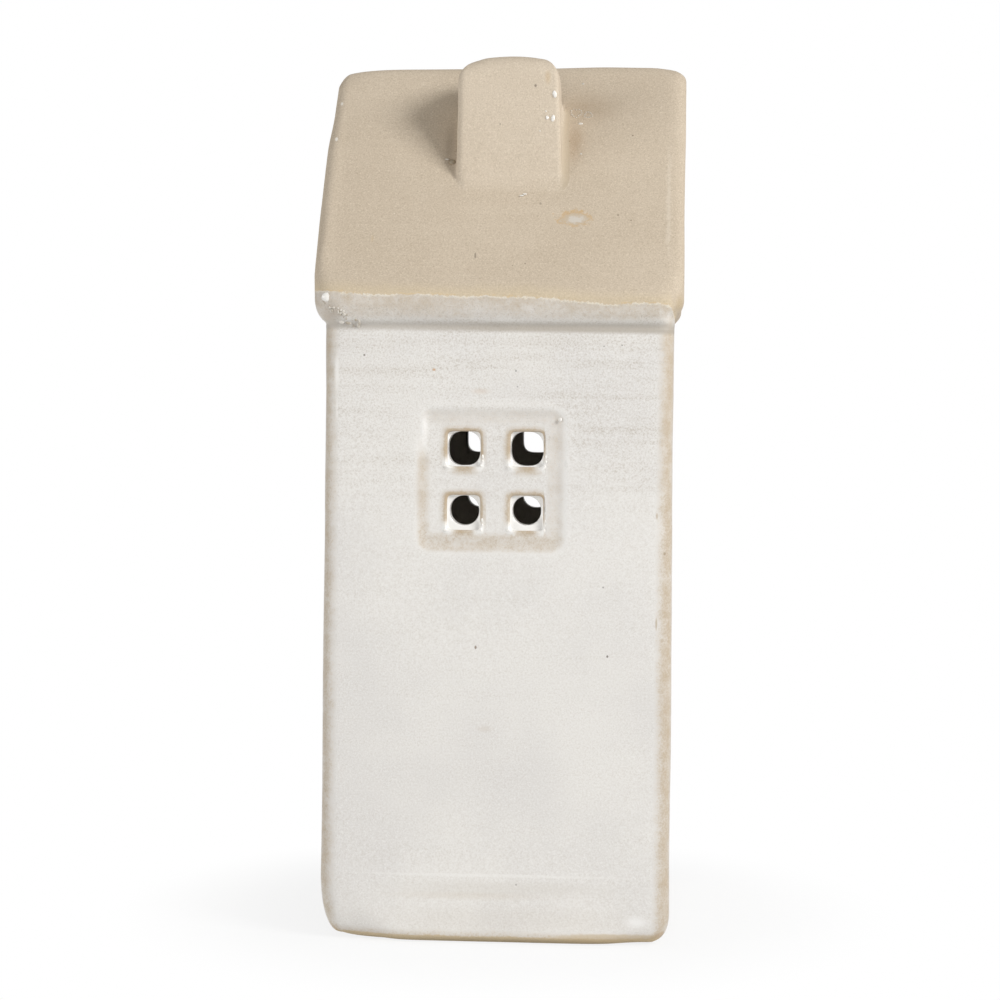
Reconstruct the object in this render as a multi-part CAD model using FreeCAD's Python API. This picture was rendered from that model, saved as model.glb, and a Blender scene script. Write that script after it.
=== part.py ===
import FreeCAD, Part
import math
import os

# Tealight house: a slip-cast stoneware house with a gabled roof, a chimney block luted to the
# front slope, a four-pane window in the front and back walls and an arched doorway at the back,
# and the tealight that burns inside it. Millimetres and degrees, +Z up, origin at the centre of
# the foot, front wall towards -Y.

# Walls, measured at the eaves
wall_width = 64.0
wall_depth = 64.0
wall_height = 113.9
wall_thickness = 5.0
wall_draft = 0.65
wall_corner_radius = 3.5
cavity_corner_radius = 2.5
foot_radius = 2.4

# Floor slab cast inside the walls
floor_thickness = 4.4
floor_recess = 0.8

# Arched doorway in the back wall, wide enough for the tealight to pass
door_clearance = 3.0
door_height = 50.0
door_edge_bevel = 0.9

# Four-pane window, the same press mark in the front and the back wall. Drops are measured down
# from the top of the walls. Each pane is a square mouth; behind it the glaze that gathered in
# its corners leaves a narrower throat with rounded corners, and in the lower row a round one.
panel_width = 26.8
panel_height = 25.9
panel_depth = 1.2
panel_slope = 0.7
panel_corner_radius = 1.6
front_panel_x = -1.1
front_panel_drop = 27.9
back_panel_x = -2.2
back_panel_drop = 26.8
panes_shift_x = 0.7
panes_shift_z = -0.1
pane_pitch_x = 11.65
pane_pitch_z = 11.75
pane_mouth = 6.4
pane_mouth_radius = 0.7
pane_mouth_depth = 1.1
upper_glaze_fill = 0.2
upper_throat_radius = 2.0
lower_glaze_fill = 0.45

# Roof hat
roof_overhang = 2.3
roof_pitch = 53.8
roof_thickness = 5.0
roof_edge_radius = 2.4
lip_radius = 5.0
lip_skirt = 0.9
cove_size = 0.8
eave_band = 0.1

# Chimney block
chimney_x = 0.75
chimney_front = 18.8
chimney_width = 20.3
chimney_top_width = 18.6
chimney_depth = 11.6
chimney_top_depth = 11.0
chimney_rise = 0.4
chimney_edge_radius = 1.6

# Tealight
candle_clearance = 0.3
cup_diameter = 38.0
cup_height = 15.5
cup_wall = 0.4
cup_bead = 0.45
wax_drop = 2.7
wax_clearance = 0.15
sustainer_diameter = 12.5
sustainer_thickness = 0.35
sustainer_neck_diameter = 3.2
sustainer_neck_height = 4.0
wick_diameter = 1.6
wick_clearance = 0.15
wick_stand = 7.1

# Cutting tools run past the faces that they cut by this much
overrun = 2.0

# Sizes that follow from the ones above
half_width = wall_width / 2
half_depth = wall_depth / 2
cavity_half_width = half_width - wall_thickness
cavity_half_depth = half_depth - wall_thickness
roof_half_width = half_width + roof_overhang
roof_half_depth = half_depth + roof_overhang
floor_top = floor_recess + floor_thickness
door_width = cup_diameter + 2 * door_clearance
pitch_angle = math.radians(roof_pitch)
edge_tolerance = wall_thickness / 100

# The lip is an arc that ends upright at its top. A small hollow, flattened to a bevel, leads
# from it into the wall: its ends are those of an arc that touches both.
lip_to_cove_x = lip_radius - roof_overhang + cove_size
lip_to_cove_z = math.sqrt((lip_radius + cove_size) ** 2 - lip_to_cove_x ** 2)
cove_height = wall_height + lip_skirt
lip_top = cove_height + lip_to_cove_z

# The eave: the lip, a narrow upright band, and the stretch that the rounded arris takes up
eave_height = lip_top + eave_band + roof_edge_radius * math.tan((math.pi / 2 - pitch_angle) / 2)
sharp_ridge = eave_height + roof_half_depth * math.tan(pitch_angle)
ridge_height = sharp_ridge - roof_edge_radius * (1 / math.cos(pitch_angle) - 1)

chimney_top = ridge_height + chimney_rise
chimney_foot = sharp_ridge - chimney_front * math.tan(pitch_angle)

wax_level = cup_height - wax_drop
wick_length = wax_level - cup_wall + wick_stand


def vector(x, y, z):
    return FreeCAD.Vector(x, y, z)


def rounded_rectangle(half_x, half_y, radius, z):
    """Closed wire of four lines and four quarter arcs, level at z, centred on the Z axis."""
    inner_x = half_x - radius
    inner_y = half_y - radius
    corners = ((inner_x, inner_y), (-inner_x, inner_y), (-inner_x, -inner_y), (inner_x, -inner_y))
    edges = []
    for index, (corner_x, corner_y) in enumerate(corners):
        start = math.radians(90 * index)
        points = []
        for turn in (start, start + math.pi / 4, start + math.pi / 2):
            points.append(vector(corner_x + radius * math.cos(turn), corner_y + radius * math.sin(turn), z))
        edges.append(Part.Arc(*points).toShape())
        next_x, next_y = corners[(index + 1) % len(corners)]
        end = start + math.pi / 2
        line_end = vector(next_x + radius * math.cos(end), next_y + radius * math.sin(end), z)
        edges.append(Part.LineSegment(points[-1], line_end).toShape())
    return Part.Wire(edges)


def prism(wire, direction):
    return Part.Face(wire).extrude(direction)


def tapered_bar(low_half_x, low_half_y, low, high_half_x, high_half_y, high):
    """Four-sided bar with flat, slightly leaning faces, centred on the Z axis."""
    low_corners = (-low_half_x, low, -low_half_y, -high_half_y, -high_half_x)
    high_corners = (low_half_x, high, low_half_y, high_half_y, high_half_x)
    bar = Part.makeWedge(*low_corners, *high_corners)
    bar.rotate(vector(0, 0, 0), vector(1, 0, 0), 90)
    return bar


def upright_edges(solid):
    """Edges that run from the bottom of a bar to its top."""
    height = solid.BoundBox.ZLength
    return [edge for edge in solid.Edges if edge.BoundBox.ZLength > height - edge_tolerance]


def wall_lean(z):
    """How far the outside of a wall stands out at height z, past its place at the eaves."""
    return wall_draft * (1 - z / wall_height)


def level_edges(solid, z):
    """Edges of a solid that lie wholly at height z."""
    found = []
    for edge in solid.Edges:
        box = edge.BoundBox
        if abs(box.ZMin - z) < edge_tolerance and abs(box.ZMax - z) < edge_tolerance:
            found.append(edge)
    return found


def window_tool(panel_x, panel_z):
    """What a window takes out of the front wall: a shallow press mark and four panes.

    Each pane is a square mouth with a rounded throat behind it, which runs through the wall.
    """
    face = half_depth + wall_lean(panel_z)
    panel_mouth = rounded_rectangle(panel_width / 2, panel_height / 2, panel_corner_radius, 0)
    panel_floor = rounded_rectangle(
        panel_width / 2 - panel_slope, panel_height / 2 - panel_slope, panel_corner_radius, -panel_depth
    )
    tool = Part.makeLoft([panel_mouth, panel_floor], True, True)
    tool = tool.fuse(prism(panel_mouth, vector(0, 0, overrun)))
    through = vector(0, 0, -wall_thickness - wall_draft - overrun)
    upper_half = pane_mouth / 2 - upper_glaze_fill
    lower_radius = pane_mouth / 2 - lower_glaze_fill
    for side in (-1, 1):
        for row in (-1, 1):
            mouth = rounded_rectangle(pane_mouth / 2, pane_mouth / 2, pane_mouth_radius, 0)
            pane = prism(mouth, vector(0, 0, -panel_depth - pane_mouth_depth))
            if row > 0:
                throat = rounded_rectangle(upper_half, upper_half, upper_throat_radius, 0)
            else:
                throat = Part.Wire([Part.makeCircle(lower_radius)])
            pane = pane.fuse(prism(throat, through))
            pane_x = panes_shift_x + side * pane_pitch_x / 2
            pane_z = panes_shift_z + row * pane_pitch_z / 2
            pane.translate(vector(pane_x, pane_z, 0))
            tool = tool.fuse(pane)
    tool.rotate(vector(0, 0, 0), vector(1, 0, 0), 90)
    tool.translate(vector(panel_x, -face, panel_z))
    return tool


def door_tool():
    """Arched doorway: a straight-sided opening with a half-round head, cut through the back wall."""
    radius = door_width / 2
    spring = floor_top + door_height - radius
    start_y = cavity_half_depth - overrun
    low_left = vector(-radius, start_y, floor_top)
    spring_left = vector(-radius, start_y, spring)
    crown = vector(0, start_y, spring + radius)
    spring_right = vector(radius, start_y, spring)
    low_right = vector(radius, start_y, floor_top)
    wire = Part.Wire([
        Part.LineSegment(low_left, spring_left).toShape(),
        Part.Arc(spring_left, crown, spring_right).toShape(),
        Part.LineSegment(spring_right, low_right).toShape(),
        Part.LineSegment(low_right, low_left).toShape(),
    ])
    return prism(wire, vector(0, wall_thickness + wall_draft + 2 * overrun, 0))


def outer_door_edges(solid):
    """Edges round the doorway on the outside of the back wall."""
    found = []
    for edge in solid.Edges:
        box = edge.BoundBox
        outside = box.YMin > half_depth - edge_tolerance
        reach = max(-box.XMin, box.XMax)
        within_sides = reach < door_width / 2 + edge_tolerance
        below_crown = box.ZMax < floor_top + door_height + edge_tolerance
        above_sill = box.ZMin > floor_top - edge_tolerance
        if outside and within_sides and below_crown and above_sill:
            found.append(edge)
    return found


def make_house_walls():
    """Four walls in one shell, a little wider at the foot, open above and below."""
    foot_half_width = half_width + wall_draft
    foot_half_depth = half_depth + wall_draft
    outside = tapered_bar(foot_half_width, foot_half_depth, 0, half_width, half_depth, wall_height)
    outside = outside.makeFillet(wall_corner_radius, upright_edges(outside))
    outside = outside.makeFillet(foot_radius, level_edges(outside, 0))
    cavity = prism(
        rounded_rectangle(cavity_half_width, cavity_half_depth, cavity_corner_radius, -overrun),
        vector(0, 0, wall_height + 2 * overrun),
    )
    walls = outside.cut(cavity).cut(door_tool())
    walls = walls.makeChamfer(door_edge_bevel, outer_door_edges(walls))
    front_window = window_tool(front_panel_x, wall_height - front_panel_drop)
    back_window = window_tool(-back_panel_x, wall_height - back_panel_drop)
    back_window.rotate(vector(0, 0, 0), vector(0, 0, 1), 180)
    return walls.cut(front_window).cut(back_window)


def make_floor():
    """Slab that closes the walls just above the surface that the house stands on."""
    outline = rounded_rectangle(cavity_half_width, cavity_half_depth, cavity_corner_radius, floor_recess)
    return prism(outline, vector(0, 0, floor_thickness))


def gable_prism(half_x, half_y, low, eave):
    """Bar with the section of a gabled house, along X, from height low, with the roof's pitch."""
    apex = eave + half_y * math.tan(pitch_angle)
    section = ((-half_y, low), (-half_y, eave), (0, apex), (half_y, eave), (half_y, low), (-half_y, low))
    wire = Part.makePolygon([vector(-half_x, y, z) for y, z in section])
    return prism(wire, vector(2 * half_x, 0, 0))


def slope_edges(solid):
    """Edges that bound the slopes: the ridge, the verges, the eaves and the corners between them."""
    found = []
    for edge in solid.Edges:
        middle = edge.valueAt((edge.FirstParameter + edge.LastParameter) / 2)
        slope_height = sharp_ridge - abs(middle.y) * math.tan(pitch_angle)
        if abs(middle.z - slope_height) < edge_tolerance:
            found.append(edge)
    return found


def lip_section():
    """Half section of the lip, from the centre of a wall corner outwards: skirt, cove and round lip."""
    wall = wall_corner_radius
    outer = wall_corner_radius + roof_overhang
    lip_centre_x = outer - lip_radius
    share = lip_radius / (lip_radius + cove_size)
    meet = vector(lip_centre_x + lip_to_cove_x * share, 0, lip_top - lip_to_cove_z * share)
    half_turn = math.atan2(lip_to_cove_z, lip_to_cove_x) / 2
    lip_middle_x = lip_centre_x + lip_radius * math.cos(half_turn)
    lip_middle = vector(lip_middle_x, 0, lip_top - lip_radius * math.sin(half_turn))
    inner_low = vector(0, 0, wall_height)
    skirt_low = vector(wall, 0, wall_height)
    skirt_high = vector(wall, 0, cove_height)
    lip_end = vector(outer, 0, lip_top)
    inner_high = vector(0, 0, lip_top)
    return Part.Wire([
        Part.LineSegment(inner_low, skirt_low).toShape(),
        Part.LineSegment(skirt_low, skirt_high).toShape(),
        Part.LineSegment(skirt_high, meet).toShape(),
        Part.Arc(meet, lip_middle, lip_end).toShape(),
        Part.LineSegment(lip_end, inner_high).toShape(),
        Part.LineSegment(inner_high, inner_low).toShape(),
    ])


def make_lip():
    """The lip's half section carried round the four sides and turned at the four corners."""
    inner_x = half_width - wall_corner_radius
    inner_y = half_depth - wall_corner_radius
    section = Part.Face(lip_section())
    solids = []
    for quarter in range(4):
        along_x = quarter % 2 == 0
        to_side = inner_x if along_x else inner_y
        half_run = inner_y if along_x else inner_x
        side = section.copy()
        side.translate(vector(to_side, -half_run, 0))
        side = side.extrude(vector(0, 2 * half_run, 0))
        corner = section.revolve(vector(0, 0, 0), vector(0, 0, 1), 90)
        corner.translate(vector(to_side, half_run, 0))
        for solid in (side, corner):
            solid.rotate(vector(0, 0, 0), vector(0, 0, 1), 90 * quarter)
            solids.append(solid)
    core_corner = vector(-inner_x, -inner_y, wall_height)
    core = Part.makeBox(2 * inner_x, 2 * inner_y, lip_top - wall_height, core_corner)
    return core.multiFuse(solids).removeSplitter()


def make_roof_outside():
    """Gabled hat with a lip that rolls out from the wall, all its arrises softened."""
    upper = prism(
        rounded_rectangle(roof_half_width, roof_half_depth, wall_corner_radius + roof_overhang, lip_top),
        vector(0, 0, sharp_ridge - lip_top + overrun),
    )
    past_eave = eave_height - overrun * math.tan(pitch_angle)
    gable = gable_prism(roof_half_width + overrun, roof_half_depth + overrun, wall_height, past_eave)
    upper = upper.common(gable)
    upper = upper.makeFillet(roof_edge_radius, slope_edges(upper))
    return upper.fuse(make_lip()).removeSplitter()


def make_roof(outside):
    """The hat hollowed out, its slopes and gables of one thickness."""
    drop = roof_thickness / math.cos(pitch_angle)
    inner_eave = sharp_ridge - drop - cavity_half_depth * math.tan(pitch_angle)
    low = wall_height - overrun
    hollow = gable_prism(cavity_half_width, cavity_half_depth, low, inner_eave)
    shaft = prism(
        rounded_rectangle(cavity_half_width, cavity_half_depth, cavity_corner_radius, low),
        vector(0, 0, sharp_ridge - low),
    )
    return outside.cut(hollow.common(shaft))


def make_chimney(roof_outside):
    """Tapered block with a rounded crown, its underside cut to the slope it is luted to."""
    root = chimney_foot - overrun
    root_share = (chimney_top - root) / (chimney_top - chimney_foot)
    root_half_width = (chimney_top_width + (chimney_width - chimney_top_width) * root_share) / 2
    root_half_depth = (chimney_top_depth + (chimney_depth - chimney_top_depth) * root_share) / 2
    top_half_width = chimney_top_width / 2
    top_half_depth = chimney_top_depth / 2
    middle_y = chimney_depth / 2 - chimney_front
    block = tapered_bar(root_half_width, root_half_depth, root, top_half_width, top_half_depth, chimney_top)
    block = block.makeFillet(chimney_edge_radius, upright_edges(block) + level_edges(block, chimney_top))
    block.translate(vector(chimney_x, middle_y, 0))
    return block.cut(roof_outside)


def revolved(points):
    """Solid of revolution of a closed outline of radius and height points."""
    wire = Part.makePolygon([vector(radius, 0, height) for radius, height in points + points[:1]])
    return Part.Face(wire).revolve(vector(0, 0, 0), vector(0, 0, 1), 360)


def make_tealight_cup():
    """Pressed cup of one wall thickness with a rolled bead round the rim."""
    outer = cup_diameter / 2
    inner = outer - cup_wall
    points = [
        (0, 0),
        (outer, 0),
        (outer, cup_height - 2 * cup_bead),
        (outer + cup_bead, cup_height - cup_bead),
        (outer, cup_height),
        (inner, cup_height),
        (inner, cup_wall),
        (0, cup_wall),
    ]
    return revolved(points)


def make_wick_sustainer():
    """Thin disc on the base of the cup with a crimped neck that holds the wick upright."""
    bore = wick_diameter / 2 + wick_clearance
    neck = sustainer_neck_diameter / 2
    disc = sustainer_diameter / 2
    low = cup_wall
    points = [
        (bore, low),
        (disc, low),
        (disc, low + sustainer_thickness),
        (neck, low + sustainer_thickness),
        (neck, low + sustainer_neck_height),
        (bore, low + sustainer_neck_height),
    ]
    return revolved(points)


def make_tealight_wick():
    """Braided wick, a round stick."""
    return Part.makeCylinder(wick_diameter / 2, wick_length, vector(0, 0, cup_wall))


def make_tealight_wax():
    """Wax poured round the sustainer and the wick, shrunk just clear of the cup and the metal."""
    outer = cup_diameter / 2 - cup_wall - wax_clearance
    bore = wick_diameter / 2 + wick_clearance
    neck = sustainer_neck_diameter / 2 + wax_clearance
    disc = sustainer_diameter / 2 + wax_clearance
    low = cup_wall
    disc_top = low + sustainer_thickness + wax_clearance
    neck_top = low + sustainer_neck_height + wax_clearance
    points = [
        (disc, low),
        (outer, low),
        (outer, wax_level),
        (bore, wax_level),
        (bore, neck_top),
        (neck, neck_top),
        (neck, disc_top),
        (disc, disc_top),
    ]
    return revolved(points)


def main():
    os.makedirs("parts", exist_ok=True)
    roof_outside = make_roof_outside()
    shapes = {
        "house_walls": make_house_walls(),
        "floor": make_floor(),
        "roof": make_roof(roof_outside),
        "chimney": make_chimney(roof_outside),
    }
    candle = {
        "tealight_cup": make_tealight_cup(),
        "tealight_wax": make_tealight_wax(),
        "tealight_wick": make_tealight_wick(),
        "wick_sustainer": make_wick_sustainer(),
    }
    for name, shape in candle.items():
        shape.translate(vector(0, 0, floor_top + candle_clearance))
        shapes[name] = shape
    for name, shape in shapes.items():
        print(name, shape.isValid(), len(shape.Solids), round(shape.Volume), shape.BoundBox)
        shape.exportStep("parts/" + name + ".step")


main()
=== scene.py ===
"""Looks of the tealight house: a slip-cast stoneware house with a bare clay roof and its tealight.

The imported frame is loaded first. Every piece here is a surface worked out on a grid in millimetres,
in the frame's own axes: +Z up, the window front faces -Y and the rear doorway faces +Y.
"""

import logging
import math
from collections.abc import Callable
from dataclasses import dataclass, field
from enum import Enum

import bpy
import numpy as np
from mathutils import Matrix, Vector


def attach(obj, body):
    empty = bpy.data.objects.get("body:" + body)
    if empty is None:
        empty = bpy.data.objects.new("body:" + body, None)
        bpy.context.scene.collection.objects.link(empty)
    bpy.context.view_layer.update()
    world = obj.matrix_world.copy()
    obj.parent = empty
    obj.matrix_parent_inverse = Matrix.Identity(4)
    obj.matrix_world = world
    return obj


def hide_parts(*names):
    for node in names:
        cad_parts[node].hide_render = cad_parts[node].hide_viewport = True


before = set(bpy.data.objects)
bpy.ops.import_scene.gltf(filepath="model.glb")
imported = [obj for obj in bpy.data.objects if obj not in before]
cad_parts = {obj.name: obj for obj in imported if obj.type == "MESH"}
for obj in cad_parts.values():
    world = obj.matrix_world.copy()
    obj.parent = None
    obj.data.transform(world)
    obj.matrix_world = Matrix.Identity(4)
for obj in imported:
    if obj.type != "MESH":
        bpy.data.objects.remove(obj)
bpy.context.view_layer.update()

Array = np.ndarray | float
Rgb = tuple[float, float, float]
Point = tuple[float, float, float]
Distance = Callable[[Array], Array]
Swell = Callable[[Array, Array], Array]
Thing = bpy.types.Object
Finish = bpy.types.Material

MILLIMETRE = 0.001
WELD_MM = 1e-4
HALVINGS = 34
QUARTER = np.pi / 2.0
MIX_SOCKETS_BEFORE_COLOUR = 5
MIX_COLOUR_OUTPUT = 2
HOUSE_BODY = "house"
CANDLE_BODY = "tealight"
CLAY_CHANNELS = ("thin", "pool", "inner", "paler")

log = logging.getLogger("tealight_house")


# Number helpers


def smooth(value: Array) -> Array:
    """Eased step: 0 below 0, 1 above 1, and 3t^2 - 2t^3 between them."""
    t = np.clip(value, 0.0, 1.0)
    return t * t * (3.0 - 2.0 * t)


def spaced(knots: list[float], counts: tuple[int, ...]) -> Array:
    """Rising numbers from the first knot to the last.

    Args:
        knots: Values that the result must hold.
        counts: How many equal steps lie between each knot and the next.

    Returns:
        The knots with the steps between them filled in.
    """
    runs = [np.linspace(a, b, n, endpoint=False) for a, b, n in zip(knots, knots[1:], counts)]
    return np.concatenate(runs + [np.array(knots[-1:])])


def spaced_rows(knots: list[Array], counts: tuple[int, ...]) -> Array:
    """Rows of numbers between knots that differ from column to column.

    Args:
        knots: One value per column for each knot.
        counts: How many equal steps lie between each knot and the next.

    Returns:
        Rows by columns, from the first knot to the last.
    """
    runs = []
    for low, high, count in zip(knots, knots[1:], counts):
        share = np.arange(count)[:, None] / count
        runs.append(low[None, :] * (1.0 - share) + high[None, :] * share)
    return np.concatenate(runs + [knots[-1][None, :]])


def ripple(points: Array, wavelength: float, seed: int) -> Array:
    """Slow unevenness left by hand and mould, roughly between -1 and 1.

    It is the mean of nine plane waves of mixed directions and lengths about the given one.

    Args:
        points: Places in millimetres, in any array whose last axis is x, y, z.
        wavelength: Typical distance between two crests, in millimetres.
        seed: Picks the directions and phases, the same in each run.

    Returns:
        One value for each place.
    """
    rng = np.random.default_rng(seed)
    directions = rng.normal(size=(9, 3))
    directions /= np.linalg.norm(directions, axis=1, keepdims=True)
    turns = 2.0 * np.pi / (wavelength * rng.uniform(0.7, 1.6, size=(9, 1)))
    phases = rng.uniform(0.0, 2.0 * np.pi, size=9)
    return np.sin(points @ (directions * turns).T + phases).mean(axis=-1) * 2.2


def bell(value: Array) -> Array:
    """Bell curve, 1 at 0: e to the minus square of the value."""
    return np.exp(-(value ** 2))


def hand_made(points: Array) -> Array:
    """Unevenness that the walls and the roof share, in millimetres."""
    return ripple(points, 42.0, 3) * 0.1 + ripple(points, 11.0, 5) * 0.022


def bump_at(points: Array, centre: Point, spread: Point) -> Array:
    """Bell-shaped hill, 1 at its centre: e to the minus squared distance counted in spreads."""
    away = (points - np.array(centre)) / np.array(spread)
    return np.exp(-(away ** 2).sum(axis=-1))


def round_max(a: Array, b: Array, radius: Array) -> Array:
    """Larger of two distances, so what both solids share, with the edge between them rounded.

    Where both lie within the radius of the edge, it is the distance from an arc of that radius.
    """
    over = np.hypot(np.maximum(a + radius, 0.0), np.maximum(b + radius, 0.0))
    return np.minimum(np.maximum(a, b), -radius) + over


def round_min(a: Array, b: Array, radius: Array) -> Array:
    """Smaller of two distances, so both solids joined, with the inner corner filled by an arc."""
    return -round_max(-a, -b, radius)


def block_distance(x: Array, y: Array, half_x: Array, half_y: Array, radius: Array) -> Array:
    """Signed distance in plan from a rectangle with rounded corners, below 0 inside it."""
    over_x = np.abs(x) - half_x + radius
    over_y = np.abs(y) - half_y + radius
    outside = np.hypot(np.maximum(over_x, 0.0), np.maximum(over_y, 0.0))
    return outside + np.minimum(np.maximum(over_x, over_y), 0.0) - radius


def unit(vectors: Array) -> Array:
    """The same directions with length 1."""
    return vectors / np.linalg.norm(vectors, axis=-1, keepdims=True)


def raised(plan: Array, height: Array) -> Array:
    """Points of a plan, each at its own height or all at one."""
    return np.concatenate([plan, np.broadcast_to(height, plan.shape[:-1])[..., None]], axis=-1)


def reach(distance: Distance, origin: Array, direction: Array, far: float) -> Array:
    """How far along each line a solid ends, found by halving the span that holds its surface.

    Args:
        distance: Signed distance of an array of points, below 0 inside the solid.
        origin: Starts of the lines, inside the solid.
        direction: Directions of the lines.
        far: A length at which every line is outside.

    Returns:
        The points where the lines leave the solid.
    """
    low = np.zeros(direction.shape[:-1])
    high = np.full(direction.shape[:-1], far)
    for _ in range(HALVINGS):
        middle = (low + high) / 2.0
        inside = distance(origin + direction * middle[..., None]) < 0.0
        low = np.where(inside, middle, low)
        high = np.where(inside, high, middle)
    return origin + direction * ((low + high) / 2.0)[..., None]


# Meshes


def linked(name: str, data: bpy.types.ID) -> Thing:
    """New object of some data, linked to the scene."""
    made = bpy.data.objects.new(name, data)
    bpy.context.scene.collection.objects.link(made)
    return made


@dataclass
class Shell:
    """Closed mesh put together from grids of points that share their borders."""

    name: str
    channels: tuple[str, ...] = ()
    points: list[Array] = field(default_factory=list)
    paints: dict[str, list[Array]] = field(default_factory=dict)
    quads: list[Array] = field(default_factory=list)
    count: int = 0

    def add(
        self, points: Array, wrap: bool = False, flip: bool = False, skip: Array | None = None,
        **paint: Array,
    ) -> None:
        """Adds a grid of points; its faces point along columns-direction cross rows-direction.

        Args:
            points: Rows by columns by 3, in millimetres.
            wrap: Whether the last column is joined to the first.
            flip: Whether the faces point the other way.
            skip: True for the cells that are left open, rows - 1 by columns, or columns - 1 unwrapped.
            paint: A value, or one value per point, for each named channel.
        """
        rows, columns = points.shape[:2]
        index = np.arange(rows * columns).reshape(rows, columns) + self.count
        if wrap:
            index = np.concatenate([index, index[:, :1]], axis=1)
        corners = [index[:-1, :-1], index[:-1, 1:], index[1:, 1:], index[1:, :-1]]
        quads = np.stack(corners[::-1] if flip else corners, axis=-1)
        if skip is not None:
            quads = quads[~skip]
        self.quads.append(quads.reshape(-1, 4))
        self.points.append(points.reshape(-1, 3))
        for channel in self.channels:
            values = np.broadcast_to(paint.get(channel, 0.0), (rows, columns))
            self.paints.setdefault(channel, []).append(values.reshape(-1))
        self.count += rows * columns

    def build(self, sharp_degrees: float = 35.0) -> Thing:
        """Welds the grids and makes the object.

        Args:
            sharp_degrees: Edges that turn by more than this stay sharp.

        Returns:
            A smooth-shaded mesh object at the origin, in metres.
        """
        points = np.concatenate(self.points)
        quads = np.concatenate(self.quads)
        keys = np.round(points / WELD_MM).astype(np.int64)
        _, first, inverse = np.unique(keys, axis=0, return_index=True, return_inverse=True)
        quads = inverse.reshape(-1)[quads]
        repeated = quads == np.roll(quads, -1, axis=1)
        whole = quads[repeated.sum(axis=1) == 0]
        folded = quads[repeated.sum(axis=1) == 1]
        gap = np.argmax(folded == np.roll(folded, -1, axis=1), axis=1)
        order = (gap[:, None] + np.arange(1, 4)) % 4
        threes = np.take_along_axis(folded, order, axis=1)
        mesh = bpy.data.meshes.new(self.name)
        mesh.from_pydata((points[first] * MILLIMETRE).tolist(), [], whole.tolist() + threes.tolist())
        for channel, values in self.paints.items():
            attribute = mesh.attributes.new(channel, "FLOAT", "POINT")
            attribute.data.foreach_set("value", np.concatenate(values)[first].astype(np.float32))
        mesh.shade_smooth()
        mesh.set_sharp_from_angle(angle=math.radians(sharp_degrees))
        mesh.validate()
        mesh.update()
        return linked(self.name, mesh)


def turned(profile: Array, count: int, swell: Swell | None = None) -> Array:
    """Rows of a surface of revolution.

    Args:
        profile: Radius and height of each row, in millimetres.
        count: Points round each turn.
        swell: Optional function of angle and height that gives a share added to the radius.

    Returns:
        Rows by count by 3: radius times the cosine and sine of the angle, and the height.
    """
    angle = np.arange(count) * 2.0 * np.pi / count
    radius = np.broadcast_to(profile[:, :1], (len(profile), count))
    height = np.broadcast_to(profile[:, 1:], (len(profile), count))
    if swell is not None:
        radius = radius * (1.0 + swell(angle[None, :], height))
    return np.stack([radius * np.cos(angle), radius * np.sin(angle), height], axis=-1)


@dataclass
class Loop:
    """Square with rounded corners in plan, walked anticlockwise from the left end of its front.

    A point of it is a place on the square of the corner centres plus an outward direction times the
    corner radius, so the loop grows or shrinks by changing that radius alone.
    """

    half: float
    radius: float
    front: Array
    back: Array
    side_steps: int
    corner_steps: int

    def __post_init__(self) -> None:
        """Works out the places and directions of all points.

        The front and back hold places from the left corner centre to the right one as seen from
        outside, the sides are split evenly and each corner is a quarter turn.
        """
        core = self.half - self.radius
        side = np.linspace(-core, core, self.side_steps + 1)
        turn = np.linspace(0.0, QUARTER, self.corner_steps + 1)[1:-1]
        runs = (
            (np.stack([self.front, np.full_like(self.front, -core)], -1), -QUARTER),
            (np.stack([np.full_like(side, core), side], -1), 0.0),
            (np.stack([-self.back, np.full_like(self.back, core)], -1), QUARTER),
            (np.stack([np.full_like(side, -core), -side], -1), np.pi),
        )
        places, angles, sides = [], [], []
        for number, (run, angle) in enumerate(runs):
            places += [run, np.repeat(run[-1:], len(turn), axis=0)]
            angles += [np.full(len(run), angle), angle + turn]
            sides += [np.full(len(run), number), np.full(len(turn), -1)]
        angle = np.concatenate(angles)
        self.place = np.concatenate(places)
        self.side = np.concatenate(sides)
        self.out = np.stack([np.cos(angle), np.sin(angle)], axis=-1)
        self.turned = np.sin(2.0 * angle) ** 2

    def at(self, radius: Array, height: Array) -> Array:
        """Rows of points: the core places plus the outward directions times the radius, at a height."""
        return raised(self.place[None] + self.out[None] * radius[..., None], height)


# Materials


def joined(operation: str, reflected: bool = False) -> Callable[["Value", "Value | float"], "Value"]:
    """Method of a value that joins it with another, or with a number, by one Math node."""

    def join(self: "Value", other: "Value | float") -> "Value":
        """The Math node's result."""
        inputs = (other, self) if reflected else (self, other)
        return self.graph.node("ShaderNodeMath", {"operation": operation}, *inputs)

    return join


class Value:
    """Socket of a material's node tree that takes part in Python expressions."""

    def __init__(self, graph: "Graph", socket: bpy.types.NodeSocket) -> None:
        """Wraps one output socket of the graph."""
        self.graph = graph
        self.socket = socket

    __add__ = __radd__ = joined("ADD")
    __sub__ = joined("SUBTRACT")
    __rsub__ = joined("SUBTRACT", reflected=True)
    __mul__ = __rmul__ = joined("MULTIPLY")
    least = joined("MINIMUM")
    most = joined("MAXIMUM")

    def ramp(self, low: float, high: float, start: float = 0.0, end: float = 1.0) -> "Value":
        """Eased climb from start to end while this goes from low to high."""
        settings = {"interpolation_type": "SMOOTHSTEP", "clamp": True}
        return self.graph.node("ShaderNodeMapRange", settings, self, low, high, start, end)


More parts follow.
